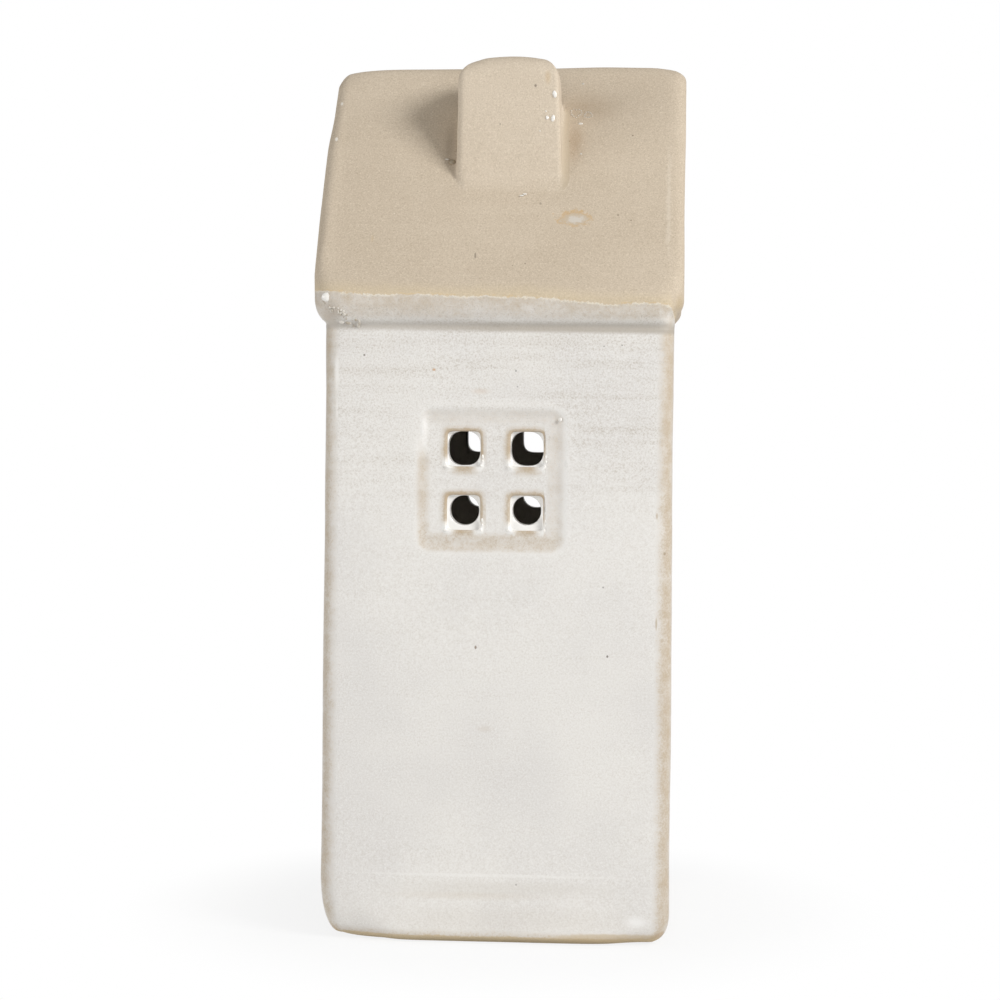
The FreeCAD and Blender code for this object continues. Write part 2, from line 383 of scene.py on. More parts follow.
class Graph:
    """Node tree of a material or of the surroundings, written as expressions."""

    def __init__(self, owner: Finish | bpy.types.World) -> None:
        """Empties the owner's tree and adds the object's own coordinates to it."""
        owner.use_nodes = True
        self.owner = owner
        self.tree = owner.node_tree
        self.tree.nodes.clear()
        self.place = self.node("ShaderNodeTexCoord", {}, output="Object")

    @classmethod
    def material(cls, name: str) -> "Graph":
        """Graph of a new material of that name."""
        return cls(bpy.data.materials.new(name))

    def node(
        self, kind: str, settings: dict, *inputs: "Value | float | tuple | None",
        output: str | int | None = 0, **named: "Value | float | tuple",
    ) -> "Value | None":
        """Adds one node.

        Args:
            kind: The node's type.
            settings: Its properties, set before its sockets.
            inputs: Values, links or None for its sockets in order.
            output: The output that is returned, or None where the node has none.
            named: Values or links for sockets by name, with _ for a space.

        Returns:
            The chosen output.
        """
        made = self.tree.nodes.new(kind)
        for key, setting in settings.items():
            setattr(made, key, setting)
        pairs = [(made.inputs[number], value) for number, value in enumerate(inputs)]
        pairs += [(made.inputs[key.replace("_", " ")], value) for key, value in named.items()]
        for socket, value in pairs:
            if isinstance(value, Value):
                self.tree.links.new(value.socket, socket)
            elif value is not None:
                socket.default_value = value
        return None if output is None else Value(self, made.outputs[output])

    def axis(self, name: str) -> Value:
        """X, Y or Z of the object's own coordinates, in millimetres."""
        return self.node("ShaderNodeSeparateXYZ", {}, self.place, output=name) * (1.0 / MILLIMETRE)

    def channel(self, name: str) -> Value:
        """A painted channel of the mesh."""
        return self.node("ShaderNodeAttribute", {"attribute_name": name}, output="Fac")

    def noise(
        self, size_mm: float, detail: float = 2.0, stretch: Point = (1.0, 1.0, 1.0), rough: float = 0.5
    ) -> Value:
        """Cloudy pattern between 0 and 1.

        Args:
            size_mm: Distance between two clouds.
            detail: Octaves of finer clouds.
            stretch: How much longer the clouds are along each axis.
            rough: Weight of the finer clouds.

        Returns:
            The pattern's value.
        """
        where = self.node("ShaderNodeMapping", {}, self.place, Scale=tuple(1.0 / part for part in stretch))
        scale = 1.0 / (size_mm * MILLIMETRE)
        return self.node("ShaderNodeTexNoise", {}, Vector=where, Scale=scale, Detail=detail, Roughness=rough)

    def specks(self, spacing_mm: float, size_mm: float, share: float) -> Value:
        """Scattered round specks.

        Args:
            spacing_mm: Distance between the places where a speck may be.
            size_mm: Radius of the largest speck.
            share: Share of the places that hold one.

        Returns:
            1 inside a speck, 0 elsewhere, with a soft edge.
        """
        scale = 1.0 / (spacing_mm * MILLIMETRE)
        away, pick = (
            self.node("ShaderNodeTexVoronoi", {"feature": "F1"}, Vector=self.place, Scale=scale, output=name)
            for name in ("Distance", "Color")
        )
        chance = self.node("ShaderNodeSeparateXYZ", {}, pick, output="X")
        size = chance.ramp(1.0 - share, 1.0) * (size_mm / spacing_mm)
        return (size - away).ramp(0.0, 0.25 * size_mm / spacing_mm)

    def spot(self, mark: "Mark") -> Value:
        """Soft-edged ellipsoid, 1 inside and 0 outside, with a ragged outline where the mark has one."""
        middle = tuple(part * MILLIMETRE for part in mark.centre)
        scale = tuple(1.0 / (part * MILLIMETRE) for part in mark.radius)
        shifted = self.node("ShaderNodeVectorMath", {"operation": "SUBTRACT"}, self.place, middle)
        counted = self.node("ShaderNodeVectorMath", {"operation": "MULTIPLY"}, shifted, scale)
        away = self.node("ShaderNodeVectorMath", {"operation": "LENGTH"}, counted, output="Value")
        if mark.ragged:
            away = away + (self.noise(1.4, 4.0, rough=0.8) - 0.5) * mark.ragged
        return away.ramp(1.0, 1.0 - mark.soft)

    def marked(self, colour: Value, marks: tuple["Mark", ...]) -> Value:
        """The colour with marks laid over it one by one."""
        for mark in marks:
            colour = self.mix(self.spot(mark) * mark.strength, colour, linear(*mark.colour))
        return colour

    def mix(self, share: Value | float, first: Value | Rgb, second: Value | Rgb) -> Value:
        """Colour between two colours."""
        colours = [c if isinstance(c, Value) else (*c, 1.0) for c in (first, second)]
        skipped = [None] * MIX_SOCKETS_BEFORE_COLOUR
        settings = {"data_type": "RGBA"}
        return self.node("ShaderNodeMix", settings, share, *skipped, *colours, output=MIX_COLOUR_OUTPUT)

    def bump(self, height: Value, depth_mm: float) -> Value:
        """Normal tilted by a height pattern whose 1 stands for the given depth."""
        return self.node("ShaderNodeBump", {}, Height=height, Distance=depth_mm * MILLIMETRE, Strength=1.0)

    def surface(self, **sockets: Value | float | Rgb) -> Value:
        """A Principled shader with the given sockets."""
        return self.node("ShaderNodeBsdfPrincipled", {}, **sockets)

    def finish(self, shader: Value) -> Finish:
        """Joins the shader to the material's output and hands over the material."""
        self.node("ShaderNodeOutputMaterial", {}, shader, output=None)
        return self.owner


@dataclass(frozen=True)
class Mark:
    """Small stain, speck or scratch, or a painted highlight or painted shade, at a place on the surface, in
    millimetres.

    Its colour is a screen colour from 0 to 255. The soft part is the share of its radius over which
    it fades.
    """

    centre: Point
    radius: Point
    colour: Rgb
    strength: float
    soft: float = 0.5
    ragged: float = 0.0


def linear(red: float, green: float, blue: float) -> Rgb:
    """Linear colour of a screen colour given from 0 to 255."""
    parts = np.array([red, green, blue]) / 255.0
    low = parts / 12.92
    high = ((parts + 0.055) / 1.055) ** 2.4
    return tuple(float(v) for v in np.where(parts <= 0.04045, low, high))


@dataclass(frozen=True)
class ClayFinish:
    """Bare stoneware: matt, sandy, with fine specks and brush lines."""

    body: Rgb = linear(202, 187, 166)
    pale: Rgb = linear(222, 208, 188)
    deep: Rgb = linear(176, 159, 136)
    lighter_block_tone: Rgb = linear(254, 243, 227)
    speck: Rgb = linear(118, 102, 84)
    pale_speck: Rgb = linear(236, 226, 210)
    roughness: float = 0.88

    def colour(self, graph: Graph) -> Value:
        """Colour of the clay.

        Args:
            graph: The material it goes into.

        Returns:
            Sandy colour with clouds, grain, brush lines and specks.
        """
        clouds = graph.noise(16.0, 3.0).ramp(0.3, 0.7)
        colour = graph.mix(clouds * 0.2, self.body, self.deep)
        grain = graph.noise(0.3, 3.0, rough=0.9)
        colour = graph.mix(grain.ramp(0.51, 0.69) * 0.9, colour, self.pale)
        colour = graph.mix(grain.ramp(0.49, 0.31) * 0.9, colour, self.deep)
        brush = graph.noise(1.1, 3.0, (26.0, 1.0, 1.0)).ramp(0.5, 0.75)
        colour = graph.mix(brush * 0.1, colour, self.pale)
        # lighter tone laid on by the paler channel, which only the chimney carries
        colour = graph.mix(graph.channel("paler") * 0.13, colour, self.lighter_block_tone)
        colour = graph.mix(graph.specks(2.4, 0.24, 0.2) * 0.6, colour, self.speck)
        return graph.mix(graph.specks(2.9, 0.26, 0.16) * 0.6, colour, self.pale_speck)

    def normal(self, graph: Graph) -> Value:
        """Fine sand and brush lines as tilted normals."""
        sand = graph.noise(0.4, 3.0, rough=0.75)
        brush = graph.noise(0.9, 2.0, (25.0, 1.0, 1.0))
        return graph.bump(sand * 0.7 + brush * 0.3, 0.1)


@dataclass(frozen=True)
class GlazeFinish:
    """Off-white satin glaze that breaks to beige where it is thin and whitens where it pools."""

    body: Rgb = linear(230, 227, 222)
    cool: Rgb = linear(223, 220, 216)
    pale: Rgb = linear(238, 236, 232)
    thin: Rgb = linear(189, 172, 148)
    rust: Rgb = linear(186, 150, 108)
    pool: Rgb = linear(243, 241, 237)
    freckle: Rgb = linear(186, 176, 162)
    blotch: Rgb = linear(184, 166, 144)
    iron: Rgb = linear(112, 94, 76)

    def colour(self, graph: Graph, thin: Value, pool: Value) -> Value:
        """Colour of the glaze.

        Args:
            graph: The material it goes into.
            thin: How thin the glaze is, from 0 to 1.
            pool: How thick it has gathered, from 0 to 1.

        Returns:
            Off-white with clouds, freckles, level bands of mottling and beige breaks.
        """
        clouds = graph.noise(20.0, 3.0).ramp(0.35, 0.7)
        colour = graph.mix(clouds, self.body, self.cool)
        grain = graph.noise(0.36, 3.0, rough=0.9)
        colour = graph.mix(grain.ramp(0.53, 0.7) * 0.85, colour, self.pale)
        bands = graph.noise(1.7, 3.0, (14.0, 14.0, 1.0)).ramp(0.42, 0.72)
        level = graph.axis("Z")
        high, lip = level.ramp(74.0, 100.0), level.ramp(114.6, 116.6)
        mottle = (bands * 0.35 + 0.3) * (high * 0.85 + 0.3) + 0.18 + lip * 0.3
        colour = graph.mix(grain.ramp(0.54, 0.32) * mottle, colour, self.freckle)
        colour = graph.mix(bands * high * 0.12, colour, self.freckle)
        blotch = graph.noise(0.7, 4.0, rough=0.95)
        colour = graph.mix(blotch.ramp(0.52, 0.66) * lip * 0.56, colour, self.blotch)
        colour = graph.mix(blotch.ramp(0.48, 0.34) * lip * 0.36, colour, self.pale)
        ragged = (graph.noise(1.5, 3.0, rough=0.75) - 0.5) * 0.5 + (grain - 0.5) * 1.5
        broken = (thin + ragged * thin.ramp(0.0, 0.35)).ramp(0.1, 1.05)
        colour = graph.mix(broken, colour, self.thin)
        worn = (thin + (graph.noise(1.8, 3.0) - 0.5) * 0.5).ramp(0.78, 1.3)
        colour = graph.mix(worn * 0.4, colour, self.rust)
        colour = graph.mix(pool, colour, self.pool)
        return graph.mix(graph.specks(9.0, 0.26, 0.12) * 0.7, colour, self.iron)

    def roughness(self, graph: Graph, thin: Value, pool: Value) -> Value:
        """Satin on the walls, glossier in the pools and drier where it is thin."""
        base = graph.noise(5.0, 2.0).ramp(0.3, 0.7, 0.36, 0.48)
        return (base + thin * 0.15 - pool * 0.28).most(0.1)

    def normal(self, graph: Graph) -> Value:
        """Orange-peel and fine level streaks as tilted normals."""
        peel = graph.noise(1.5, 2.0)
        streaks = graph.noise(0.9, 2.0, (18.0, 18.0, 1.0))
        fine = graph.noise(0.45, 2.0)
        return graph.bump(peel * 0.4 + streaks * 0.3 + fine * 0.3, 0.07)


class Spots:
    """Marks that the kiln and the hands left, read from the photograph, with painted highlights and painted
    shade among them, each noted where it stands.
    """

    ORANGE: Rgb = (196, 148, 92)
    BROWN: Rgb = (128, 106, 84)
    DARK: Rgb = (96, 84, 72)
    PALE: Rgb = (244, 240, 232)

    WALLS = (
        Mark((-11.8, -32.0, 106.3), (0.4, 3.0, 0.3), ORANGE, 0.7),
        Mark((-3.7, -32.0, 55.2), (0.28, 3.0, 0.42), BROWN, 0.8),
        Mark((20.6, -32.0, 53.9), (0.26, 3.0, 0.3), DARK, 0.8),
        Mark((19.7, -32.0, 66.6), (0.22, 3.0, 0.22), DARK, 0.55),
        Mark((4.2, -32.0, 11.3), (0.24, 3.0, 0.24), DARK, 0.55),
        Mark((-24.7, -32.0, 108.9), (0.26, 3.0, 0.24), DARK, 0.75),
        Mark((-1.9, -32.0, 40.1), (2.2, 3.0, 1.0), (206, 196, 184), 0.4, 0.9),
        # painted highlight: a bright patch on the glaze near the front's lower right corner
        Mark((26.4, -32.6, 4.7), (3.2, 2.0, 1.8), (244, 243, 241), 0.75, 0.95),
        # painted highlight and painted shade: a pale line along the top of the low ridge near the foot, and
        # a grey band under it
        Mark((0.0, -32.6, 12.9), (33.0, 2.0, 0.4), (238, 236, 232), 0.45, 0.6),
        Mark((2.0, -32.6, 10.4), (30.0, 2.0, 2.2), (206, 200, 190), 0.32, 0.9),
        Mark((2.0, -32.6, 4.6), (36.0, 2.0, 4.0), (200, 192, 180), 0.2, 0.9),
        Mark((-5.0, -32.6, 9.0), (20.0, 2.0, 1.2), (204, 192, 174), 0.25, 0.9),
        Mark((22.0, -32.6, 1.45), (14.0, 3.0, 1.2), (202, 182, 148), 0.62, 0.4, 0.5),
        # painted shadow: a dark band along the bottom edge of the front, where the foot meets the table
        Mark((4.0, -32.6, 0.2), (40.0, 3.0, 1.5), (140, 124, 94), 0.55, 0.8),
        Mark((-14.5, -32.0, 84.0), (1.2, 3.0, 8.0), (202, 193, 182), 0.35, 0.9),
        Mark((29.4, -32.0, 79.8), (0.3, 4.0, 0.8), (176, 152, 120), 0.55, 0.7),
        Mark((30.9, -32.0, 72.9), (0.3, 4.0, 0.4), (150, 128, 100), 0.6, 0.5),
        Mark((29.5, -32.0, 60.0), (0.25, 4.0, 1.6), (172, 148, 114), 0.6, 0.7),
        Mark((30.6, -32.0, 57.0), (0.4, 4.0, 0.5), (172, 150, 120), 0.5, 0.7),
        # painted highlight: a bright upright strip on the glaze near the front's upper left corner, in two
        # parts
        Mark((-29.75, -31.9, 105.6), (0.75, 2.0, 5.0), (246, 244, 240), 0.6, 0.9),
        Mark((-29.7, -31.9, 99.0), (0.4, 2.0, 3.4), (244, 242, 238), 0.45, 0.9),
        Mark((-3.2, -32.0, 102.4), (2.4, 3.0, 0.8), (208, 190, 172), 0.4, 0.9),
        Mark((3.3, -32.0, 106.2), (0.22, 3.0, 0.3), DARK, 0.5),
        Mark((3.6, -32.0, 103.3), (0.2, 3.0, 0.22), DARK, 0.4),
        Mark((19.4, -32.0, 110.8), (0.2, 3.0, 0.2), DARK, 0.5),
        Mark((22.7, -32.0, 111.0), (0.2, 3.0, 0.2), DARK, 0.5),
    )
    ROOF = (
        Mark((13.4, -23.6, 134.7), (3.8, 6.0, 1.75), (198, 162, 110), 0.66, 0.35, 2.0),
        Mark((13.5, -23.6, 134.6), (3.1, 6.0, 1.35), (194, 183, 166), 0.72, 0.35, 1.8),
        Mark((13.6, -23.6, 134.5), (2.2, 6.0, 0.85), (216, 213, 208), 0.55, 0.6, 2.6),
        # Right of the chimney: a brown patch along its joint, then a broad painted shadow on the slope
        # beside it.
        Mark((13.0, -12.6, 150.0), (2.7, 8.0, 7.0), (158, 130, 98), 0.38, 0.95),
        Mark((15.0, -7.4, 157.0), (9.5, 9.0, 4.8), (150, 128, 102), 0.38, 0.98),
        # painted shade: a dark strip on the slope along the chimney's left side
        Mark((-10.9, -13.0, 149.5), (1.5, 9.0, 8.5), (112, 96, 78), 0.28, 0.95),
        Mark((-10.3, -15.6, 145.8), (0.9, 3.0, 0.8), (150, 128, 100), 0.5, 0.5),
        Mark((-4.6, -29.0, 127.4), (0.25, 5.0, 0.8), DARK, 0.5, 0.6),
        Mark((-6.0, -31.5, 123.6), (2.2, 5.0, 0.3), (222, 210, 190), 0.25, 0.8),
        Mark((30.9, -20.0, 138.5), (0.6, 30.0, 14.0), (224, 213, 196), 0.35, 0.7, 4.0),
        Mark((-30.4, -33.0, 116.6), (2.2, 2.5, 2.8), (170, 154, 136), 0.42, 0.9, 0.8),
        Mark((33.4, -31.5, 118.6), (2.2, 3.0, 2.6), (184, 164, 130), 0.62, 0.9),
        Mark((7.0, -21.5, 137.6), (0.3, 5.0, 0.3), DARK, 0.4, 0.5),
        Mark((-32.6, -8.5, 158.0), (0.5, 4.0, 0.6), PALE, 0.8, 0.5),
        Mark((-32.8, -12.0, 150.5), (0.4, 4.0, 0.5), PALE, 0.7, 0.5),
        Mark((-24.0, -26.4, 130.6), (0.4, 5.0, 1.0), (196, 174, 140), 0.5, 0.9),
    )
    CHIMNEY = (
        # painted shade and slip: darkens the chimney's right side face, which lies in shade, and the slip
        # smeared along its right joint
        Mark((11.8, -13.0, 150.0), (1.7, 24.0, 22.0), (184, 168, 144), 0.75, 0.6),
        Mark((5.7, -18.8, 159.9), (0.3, 3.0, 0.35), DARK, 0.65),
        Mark((-0.9, -18.8, 152.7), (0.2, 3.0, 0.2), DARK, 0.5),
        Mark((8.0, -18.8, 161.5), (0.8, 3.0, 1.9), (196, 168, 128), 0.4, 0.8),
        Mark((-9.6, -18.4, 145.9), (0.5, 3.0, 0.5), (122, 100, 74), 0.6, 0.6),
    )


@dataclass(frozen=True)
class Stoneware:
    """The fired body: bare clay, glazed between a line near the foot and one on the roof's lip."""

    clay: ClayFinish = ClayFinish()
    glaze: GlazeFinish = GlazeFinish()
    line_height: float = 119.45
    line_fall: float = 0.034
    foot_line: float = 1.5
    clay_under_line: Rgb = linear(212, 194, 158)
    clay_in_fringe: Rgb = linear(212, 184, 136)
    clay_at_foot: Rgb = linear(202, 184, 152)
    clay_inside: Rgb = linear(204, 200, 194)
    # thin glaze and painted shade in the cove under the roof's lip
    cove_thin_glaze_and_shade: Rgb = linear(172, 163, 150)
    glaze_at_edge: Rgb = linear(238, 231, 216)

    def material(self, name: str, marks: tuple[Mark, ...] = ()) -> Finish:
        """Material of any piece of the body.

        Args:
            name: The material's name.
            marks: Stains and specks on that piece.

        Returns:
            Clay and glaze shaders mixed by where the glaze ends.
        """
        graph = Graph.material(name)
        x, z = graph.axis("X"), graph.axis("Z")
        thin, pool, inner = graph.channel("thin"), graph.channel("pool"), graph.channel("inner")
        thin = thin * graph.noise(3.5, 3.0, rough=0.6).ramp(0.33, 0.67, 0.86, 1.12)
        ragged = (graph.noise(9.0, 3.0) - 0.5) * 2.4 + (graph.noise(0.8, 4.0, rough=0.85) - 0.5) * 1.7
        to_line = self.line_height - self.line_fall * x - x.ramp(31.4, 33.0) * 4.2 + ragged - z
        to_foot = z - self.foot_line + (graph.noise(6.0, 3.0) - 0.5) * 0.8
        to_foot = to_foot + (graph.noise(0.6, 2.0) - 0.5) * 0.5
        glazed = to_line.ramp(-0.1, 0.1) * to_foot.ramp(-0.15, 0.2) * (1.0 - inner)
        thinned = (thin + to_foot.ramp(2.0, 0.0) * 0.5).least(1.0)
        body = graph.mix(to_line.ramp(-3.0, -0.2) * 0.35, self.clay.colour(graph), self.clay_under_line)
        fringe = to_line.ramp(-0.45, -0.12) * to_line.ramp(0.25, 0.05)
        crust = graph.noise(2.2, 4.0, rough=0.8)
        body = graph.mix(fringe * crust.ramp(0.42, 0.6) * 0.5, body, self.clay_in_fringe)
        body = graph.mix(to_foot.ramp(2.0, 0.0) * z.ramp(8.0, 4.0) * 0.6, body, self.clay_at_foot)
        body = graph.mix(inner * 0.85, body, self.clay_inside)
        # Painted shade: a grey band in the cove under the roof's lip, stronger towards the right; it stands
        # for thin glaze there and for the shade under the lip.
        under = z + x * 0.009
        cove = under.ramp(112.9, 113.9) * z.ramp(115.8, 114.2) * x.ramp(-36.0, 20.0, 0.58, 0.8)
        coat = graph.mix(cove, self.glaze.colour(graph, thinned, pool), self.cove_thin_glaze_and_shade)
        edge = to_line.ramp(0.5, 0.0) * pool.ramp(1.0, 0.0) * crust.ramp(0.6, 0.45)
        coat = graph.mix(edge * 0.7, coat, self.glaze_at_edge)
        bare = graph.surface(
            Base_Color=graph.marked(body, marks),
            Roughness=self.clay.roughness,
            Normal=self.clay.normal(graph),
        )
        coated = graph.surface(
            Base_Color=graph.marked(coat, marks),
            Roughness=self.glaze.roughness(graph, thinned, pool),
            Normal=self.glaze.normal(graph),
        )
        return graph.finish(graph.node("ShaderNodeMixShader", {}, glazed, bare, coated))


@dataclass(frozen=True)
class BeadFinish:
    """Stray glaze, white and glossy, or a dull brown crumb of clay."""

    glaze: Rgb = linear(241, 238, 232)
    crumb: Rgb = linear(166, 154, 134)

    def material(self, name: str) -> Finish:
        """Colour and gloss follow each bead's own share of glaze."""
        graph = Graph.material(name)
        glazed = graph.channel("glaze")
        grain = graph.noise(0.5, 2.0)
        drop = graph.surface(
            Base_Color=graph.mix(glazed, self.crumb, self.glaze),
            Roughness=0.85 - glazed * 0.75,
            Normal=graph.bump(grain, 0.04),
        )
        return graph.finish(drop)


@dataclass(frozen=True)
class MetalFinish:
    """Thin pressed sheet with fine drawing lines and handling marks."""

    colour: Rgb
    roughness: float
    line_stretch: Point

    def material(self, name: str) -> Finish:
        """Metal with lines along one direction."""
        graph = Graph.material(name)
        lines = graph.noise(0.5, 2.0, self.line_stretch)
        marks = graph.noise(4.0, 3.0).ramp(0.35, 0.75)
        dark = tuple(part * 0.72 for part in self.colour)
        metal = graph.surface(
            Base_Color=graph.mix(marks * 0.5, self.colour, dark),
            Metallic=1.0,
            Roughness=lines * 0.2 + marks * 0.12 + (self.roughness - 0.12),
            Normal=graph.bump(lines, 0.03),
        )
        return graph.finish(metal)


@dataclass(frozen=True)
class WaxFinish:
    """White candle wax, cloudy, with a soft sheen."""

    colour: Rgb = linear(240, 236, 226)
    cloud: Rgb = linear(224, 218, 204)

    def material(self, name: str) -> Finish:
        """Wax that lets a little light in under its skin."""
        graph = Graph.material(name)
        clouds = graph.noise(6.0, 3.0).ramp(0.35, 0.7)
        frost = graph.noise(0.8, 3.0).ramp(0.5, 0.8)
        wax = graph.surface(
            Base_Color=graph.mix(clouds * 0.6, self.colour, self.cloud),
            Roughness=frost * 0.2 + 0.34,
            Subsurface_Weight=0.25,
            Subsurface_Scale=0.002,
            Normal=graph.bump(graph.noise(1.8, 3.0), 0.08),
        )
        return graph.finish(wax)


@dataclass(frozen=True)
class WickFinish:
    """Braided cotton dipped in wax."""

    colour: Rgb = linear(232, 224, 203)
    # painted shade: the colour in the grooves between the strands
    hollow: Rgb = linear(172, 158, 132)

    def material(self, name: str) -> Finish:
        """Cotton with painted shade between the strands."""
        graph = Graph.material(name)
        strand = graph.channel("strand")
        fibre = graph.noise(0.25, 3.0, (1.0, 1.0, 3.0))
        cotton = graph.surface(
            # painted shade: the colour darkens in the grooves between the strands
            Base_Color=graph.mix(strand, self.hollow, self.colour),
            Roughness=fibre * 0.3 + 0.5,
            Normal=graph.bump(fibre, 0.05),
        )
        return graph.finish(cotton)


# The house


class Face(Enum):
    """The two walls that are pressed and cut, with the sign of their outward Y."""

    FRONT = -1.0
    BACK = 1.0


@dataclass(frozen=True)
class Pane:
    """One hole of a window: how the round throat lies behind its square mouth, in millimetres."""

    throat_x: float
    throat_z: float
    power: float
    shift_x: float
    shift_z: float


@dataclass
class Window:
    """Four-pane window: a soft press mark with four square holes that glaze has partly filled.

    The panes are, in order, the lower left, upper left, lower right and upper right one.
    """

    face: Face
    panel_x: float
    panel_z: float
    shift_x: float = 0.7
    half_width: float = 13.4
    half_height: float = 12.95
    depth: float = 0.6
    soft: float = 2.4
    corner: float = 2.4
    shift_z: float = -0.1
    pitch_x: float = 11.65
    pitch_z: float = 11.75
    mouth_x: float = 3.08
    mouth_z: float = 3.25
    mouth_power: float = 8.0
    lip: float = 0.45
    rim_x: float = 10.6
    rim_z: float = 10.7
    border_x: float = 14.6
    border_z: float = 14.2
    panes: tuple[Pane, ...] = (
        Pane(2.72, 2.74, 2.1, 0.12, 0.4),
        Pane(3.0, 3.14, 2.6, 0.0, 0.1),
        Pane(2.64, 2.66, 2.1, 0.0, 0.44),
        Pane(3.02, 3.14, 2.6, 0.0, 0.1),
    )

    def centre(self, number: int) -> tuple[float, float]:
        """Middle of a pane, across and up."""
        right_side, upper = divmod(number, 2)
        across = self.panel_x + self.shift_x + (right_side - 0.5) * self.pitch_x
        return across, self.panel_z + self.shift_z + (upper - 0.5) * self.pitch_z

    def away(self, across: Array, height: Array) -> Array:
        """Distance from the press mark's outline, below 0 inside it."""
        x, z = across - self.panel_x, height - self.panel_z
        return block_distance(x, z, self.half_width, self.half_height, self.corner)

    def sunk(self, across: Array, height: Array) -> Array:
        """Depth of the press mark: eased from 0 outside its outline to full depth inside it."""
        return self.depth * smooth(0.4 - self.away(across, height) / self.soft)

    def tan(self, across: Array, height: Array) -> Array:
        """Where the glaze is thin in the press mark: bands inside its outline, widest low and right."""
        away = self.away(across, height)
        inside = smooth(0.7 - away / 1.4)
        rim = smooth(1.0 + away / 1.8) * 0.3
        low = smooth((self.panel_z - 8.6 - height) / 2.2) * 0.56
        right = smooth((across - self.panel_x - 9.4) / 1.6) * 0.38
        left = smooth((self.panel_x - 10.4 - across) / 2.2)
        left = left * smooth((self.panel_z + 8.5 - height) / 6.0) * 0.58
        high = smooth((height - self.panel_z - 8.8) / 2.4) * 0.32
        return inside * np.maximum.reduce(np.broadcast_arrays(rim, low, right, left, high))

    def ridge(self, across: Array, height: Array) -> Array:
        """Where the glaze has gathered: a pale line along the press mark, weak on its left and below."""
        right = smooth((across - self.panel_x - 10.5) / 2.0)
        left = smooth((self.panel_x - 10.5 - across) / 2.0)
        low = smooth((self.panel_z - 10.5 - height) / 2.0)
        level = 0.36 + 0.16 * right - 0.28 * left - 0.22 * low
        return level * bell((self.away(across, height) - 1.0 + 0.8 * right) / 0.8)

    def radius(self, angle: Array, half_x: float, half_z: float, power: float) -> Array:
        """Distance from a pane's middle to its outline at an angle.

        The outline is |x / half_x|^power + |z / half_z|^power = 1: an ellipse for a power of 2, and
        nearly a rectangle for a high one.
        """
        cosine, sine = np.abs(np.cos(angle)) / half_x, np.abs(np.sin(angle)) / half_z
        return 1.0 / (cosine ** power + sine ** power) ** (1.0 / power)

    def pane_rows(self, angle: Array, pane: Pane) -> tuple[Array, ...]:
        """Outlines of one pane from the press mark's floor through the wall.

        Args:
            angle: Direction of each point from the pane's middle.
            pane: The pane.

        Returns:
            For each outline its radii, how far it lies below the surface, its share of the way to
            the inside of the wall, how thin and how pooled the glaze is there, and its share of the
            throat's shift.
        """
        square = self.radius(angle, self.mouth_x, self.mouth_z, self.mouth_power)
        throat = self.radius(angle, pane.throat_x, pane.throat_z, pane.power)
        turn = np.linspace(0.0, QUARTER, 7)
        rows = []
        for a in turn:
            wide, drop = self.lip * (1.0 - np.sin(a)), self.lip * (1.0 - np.cos(a))
            rows.append((square + wide, drop, 0.0, 0.9, 0.0, 0.0))
        rows.append((square * 0.995, self.lip + 0.15, 0.0, 0.5, 0.5, 0.0))
        for share in (0.12, 0.35, 0.62, 0.85):
            drop = self.lip + 0.3 + 0.28 * share
            rows.append((square * (1.0 - share) + throat * share, drop, 0.0, 0.0, 1.0, share))
        for a in turn[1:]:
            drop = self.lip + 0.6 + 0.5 * (1.0 - np.cos(a))
            rows.append((throat + 0.12 * (1.0 - np.sin(a)), drop, 0.0, 0.0, 1.0, 1.0))
        for share in np.linspace(0.0, 1.0, 7)[1:-1]:
            rows.append((throat, (self.lip + 1.1) * (1.0 - share), share, 0.1, 0.6, 1.0))
        for wide, drop, thin, pool in ((0.0, -0.3, 0.3, 0.2), (0.1, -0.08, 0.5, 0.0), (0.35, 0.0, 0.5, 0.0)):
            rows.append((throat + wide, drop, 1.0, thin, pool, 1.0))
        radii = np.stack([row[0] for row in rows])
        rest = [np.array([row[k] for row in rows])[:, None] for k in range(1, 6)]
        return radii, *rest


BACK_PANES = (
    Pane(2.9, 2.9, 2.2, 0.12, 0.1), Pane(3.0, 3.14, 3.4, 0.0, 0.1),
    Pane(2.9, 2.9, 2.2, 0.0, 0.1), Pane(3.02, 3.14, 3.4, 0.0, 0.1),
)


@dataclass
class Doorway:
    """Arched doorway in the back wall, through which the tealight goes in."""

    half_width: float = 22.0
    sill: float = 5.2
    height: float = 50.0
    edge: float = 1.3
    centre_height: float = 27.0
    rim_x: float = 24.0
    rim_low: float = 3.4
    rim_high: float = 60.0

    def outline(self, angle: Array, grow: Array) -> Array:
        """Points of the doorway's outline, grown by a distance, at angles about its middle.

        Each is where a line from the middle leaves the arch, which is a strip closed above by a
        half circle and below by the sill.
        """
        spring = self.sill + self.height - self.half_width

        def arch(points: Array) -> Array:
            """Signed distance from the arch, less the growth."""
            x, z = points[..., 0], points[..., 1]
            strip = np.where(z > spring, np.hypot(x, z - spring), np.abs(x)) - self.half_width
            return round_max(strip, self.sill - z, 0.8) - grow

        direction = np.stack([np.cos(angle), np.sin(angle)], axis=-1)
        direction = np.broadcast_to(direction, (*np.broadcast(grow, angle).shape, 2))
        origin = np.array([0.0, self.centre_height])
        return reach(arch, origin, direction, 60.0)


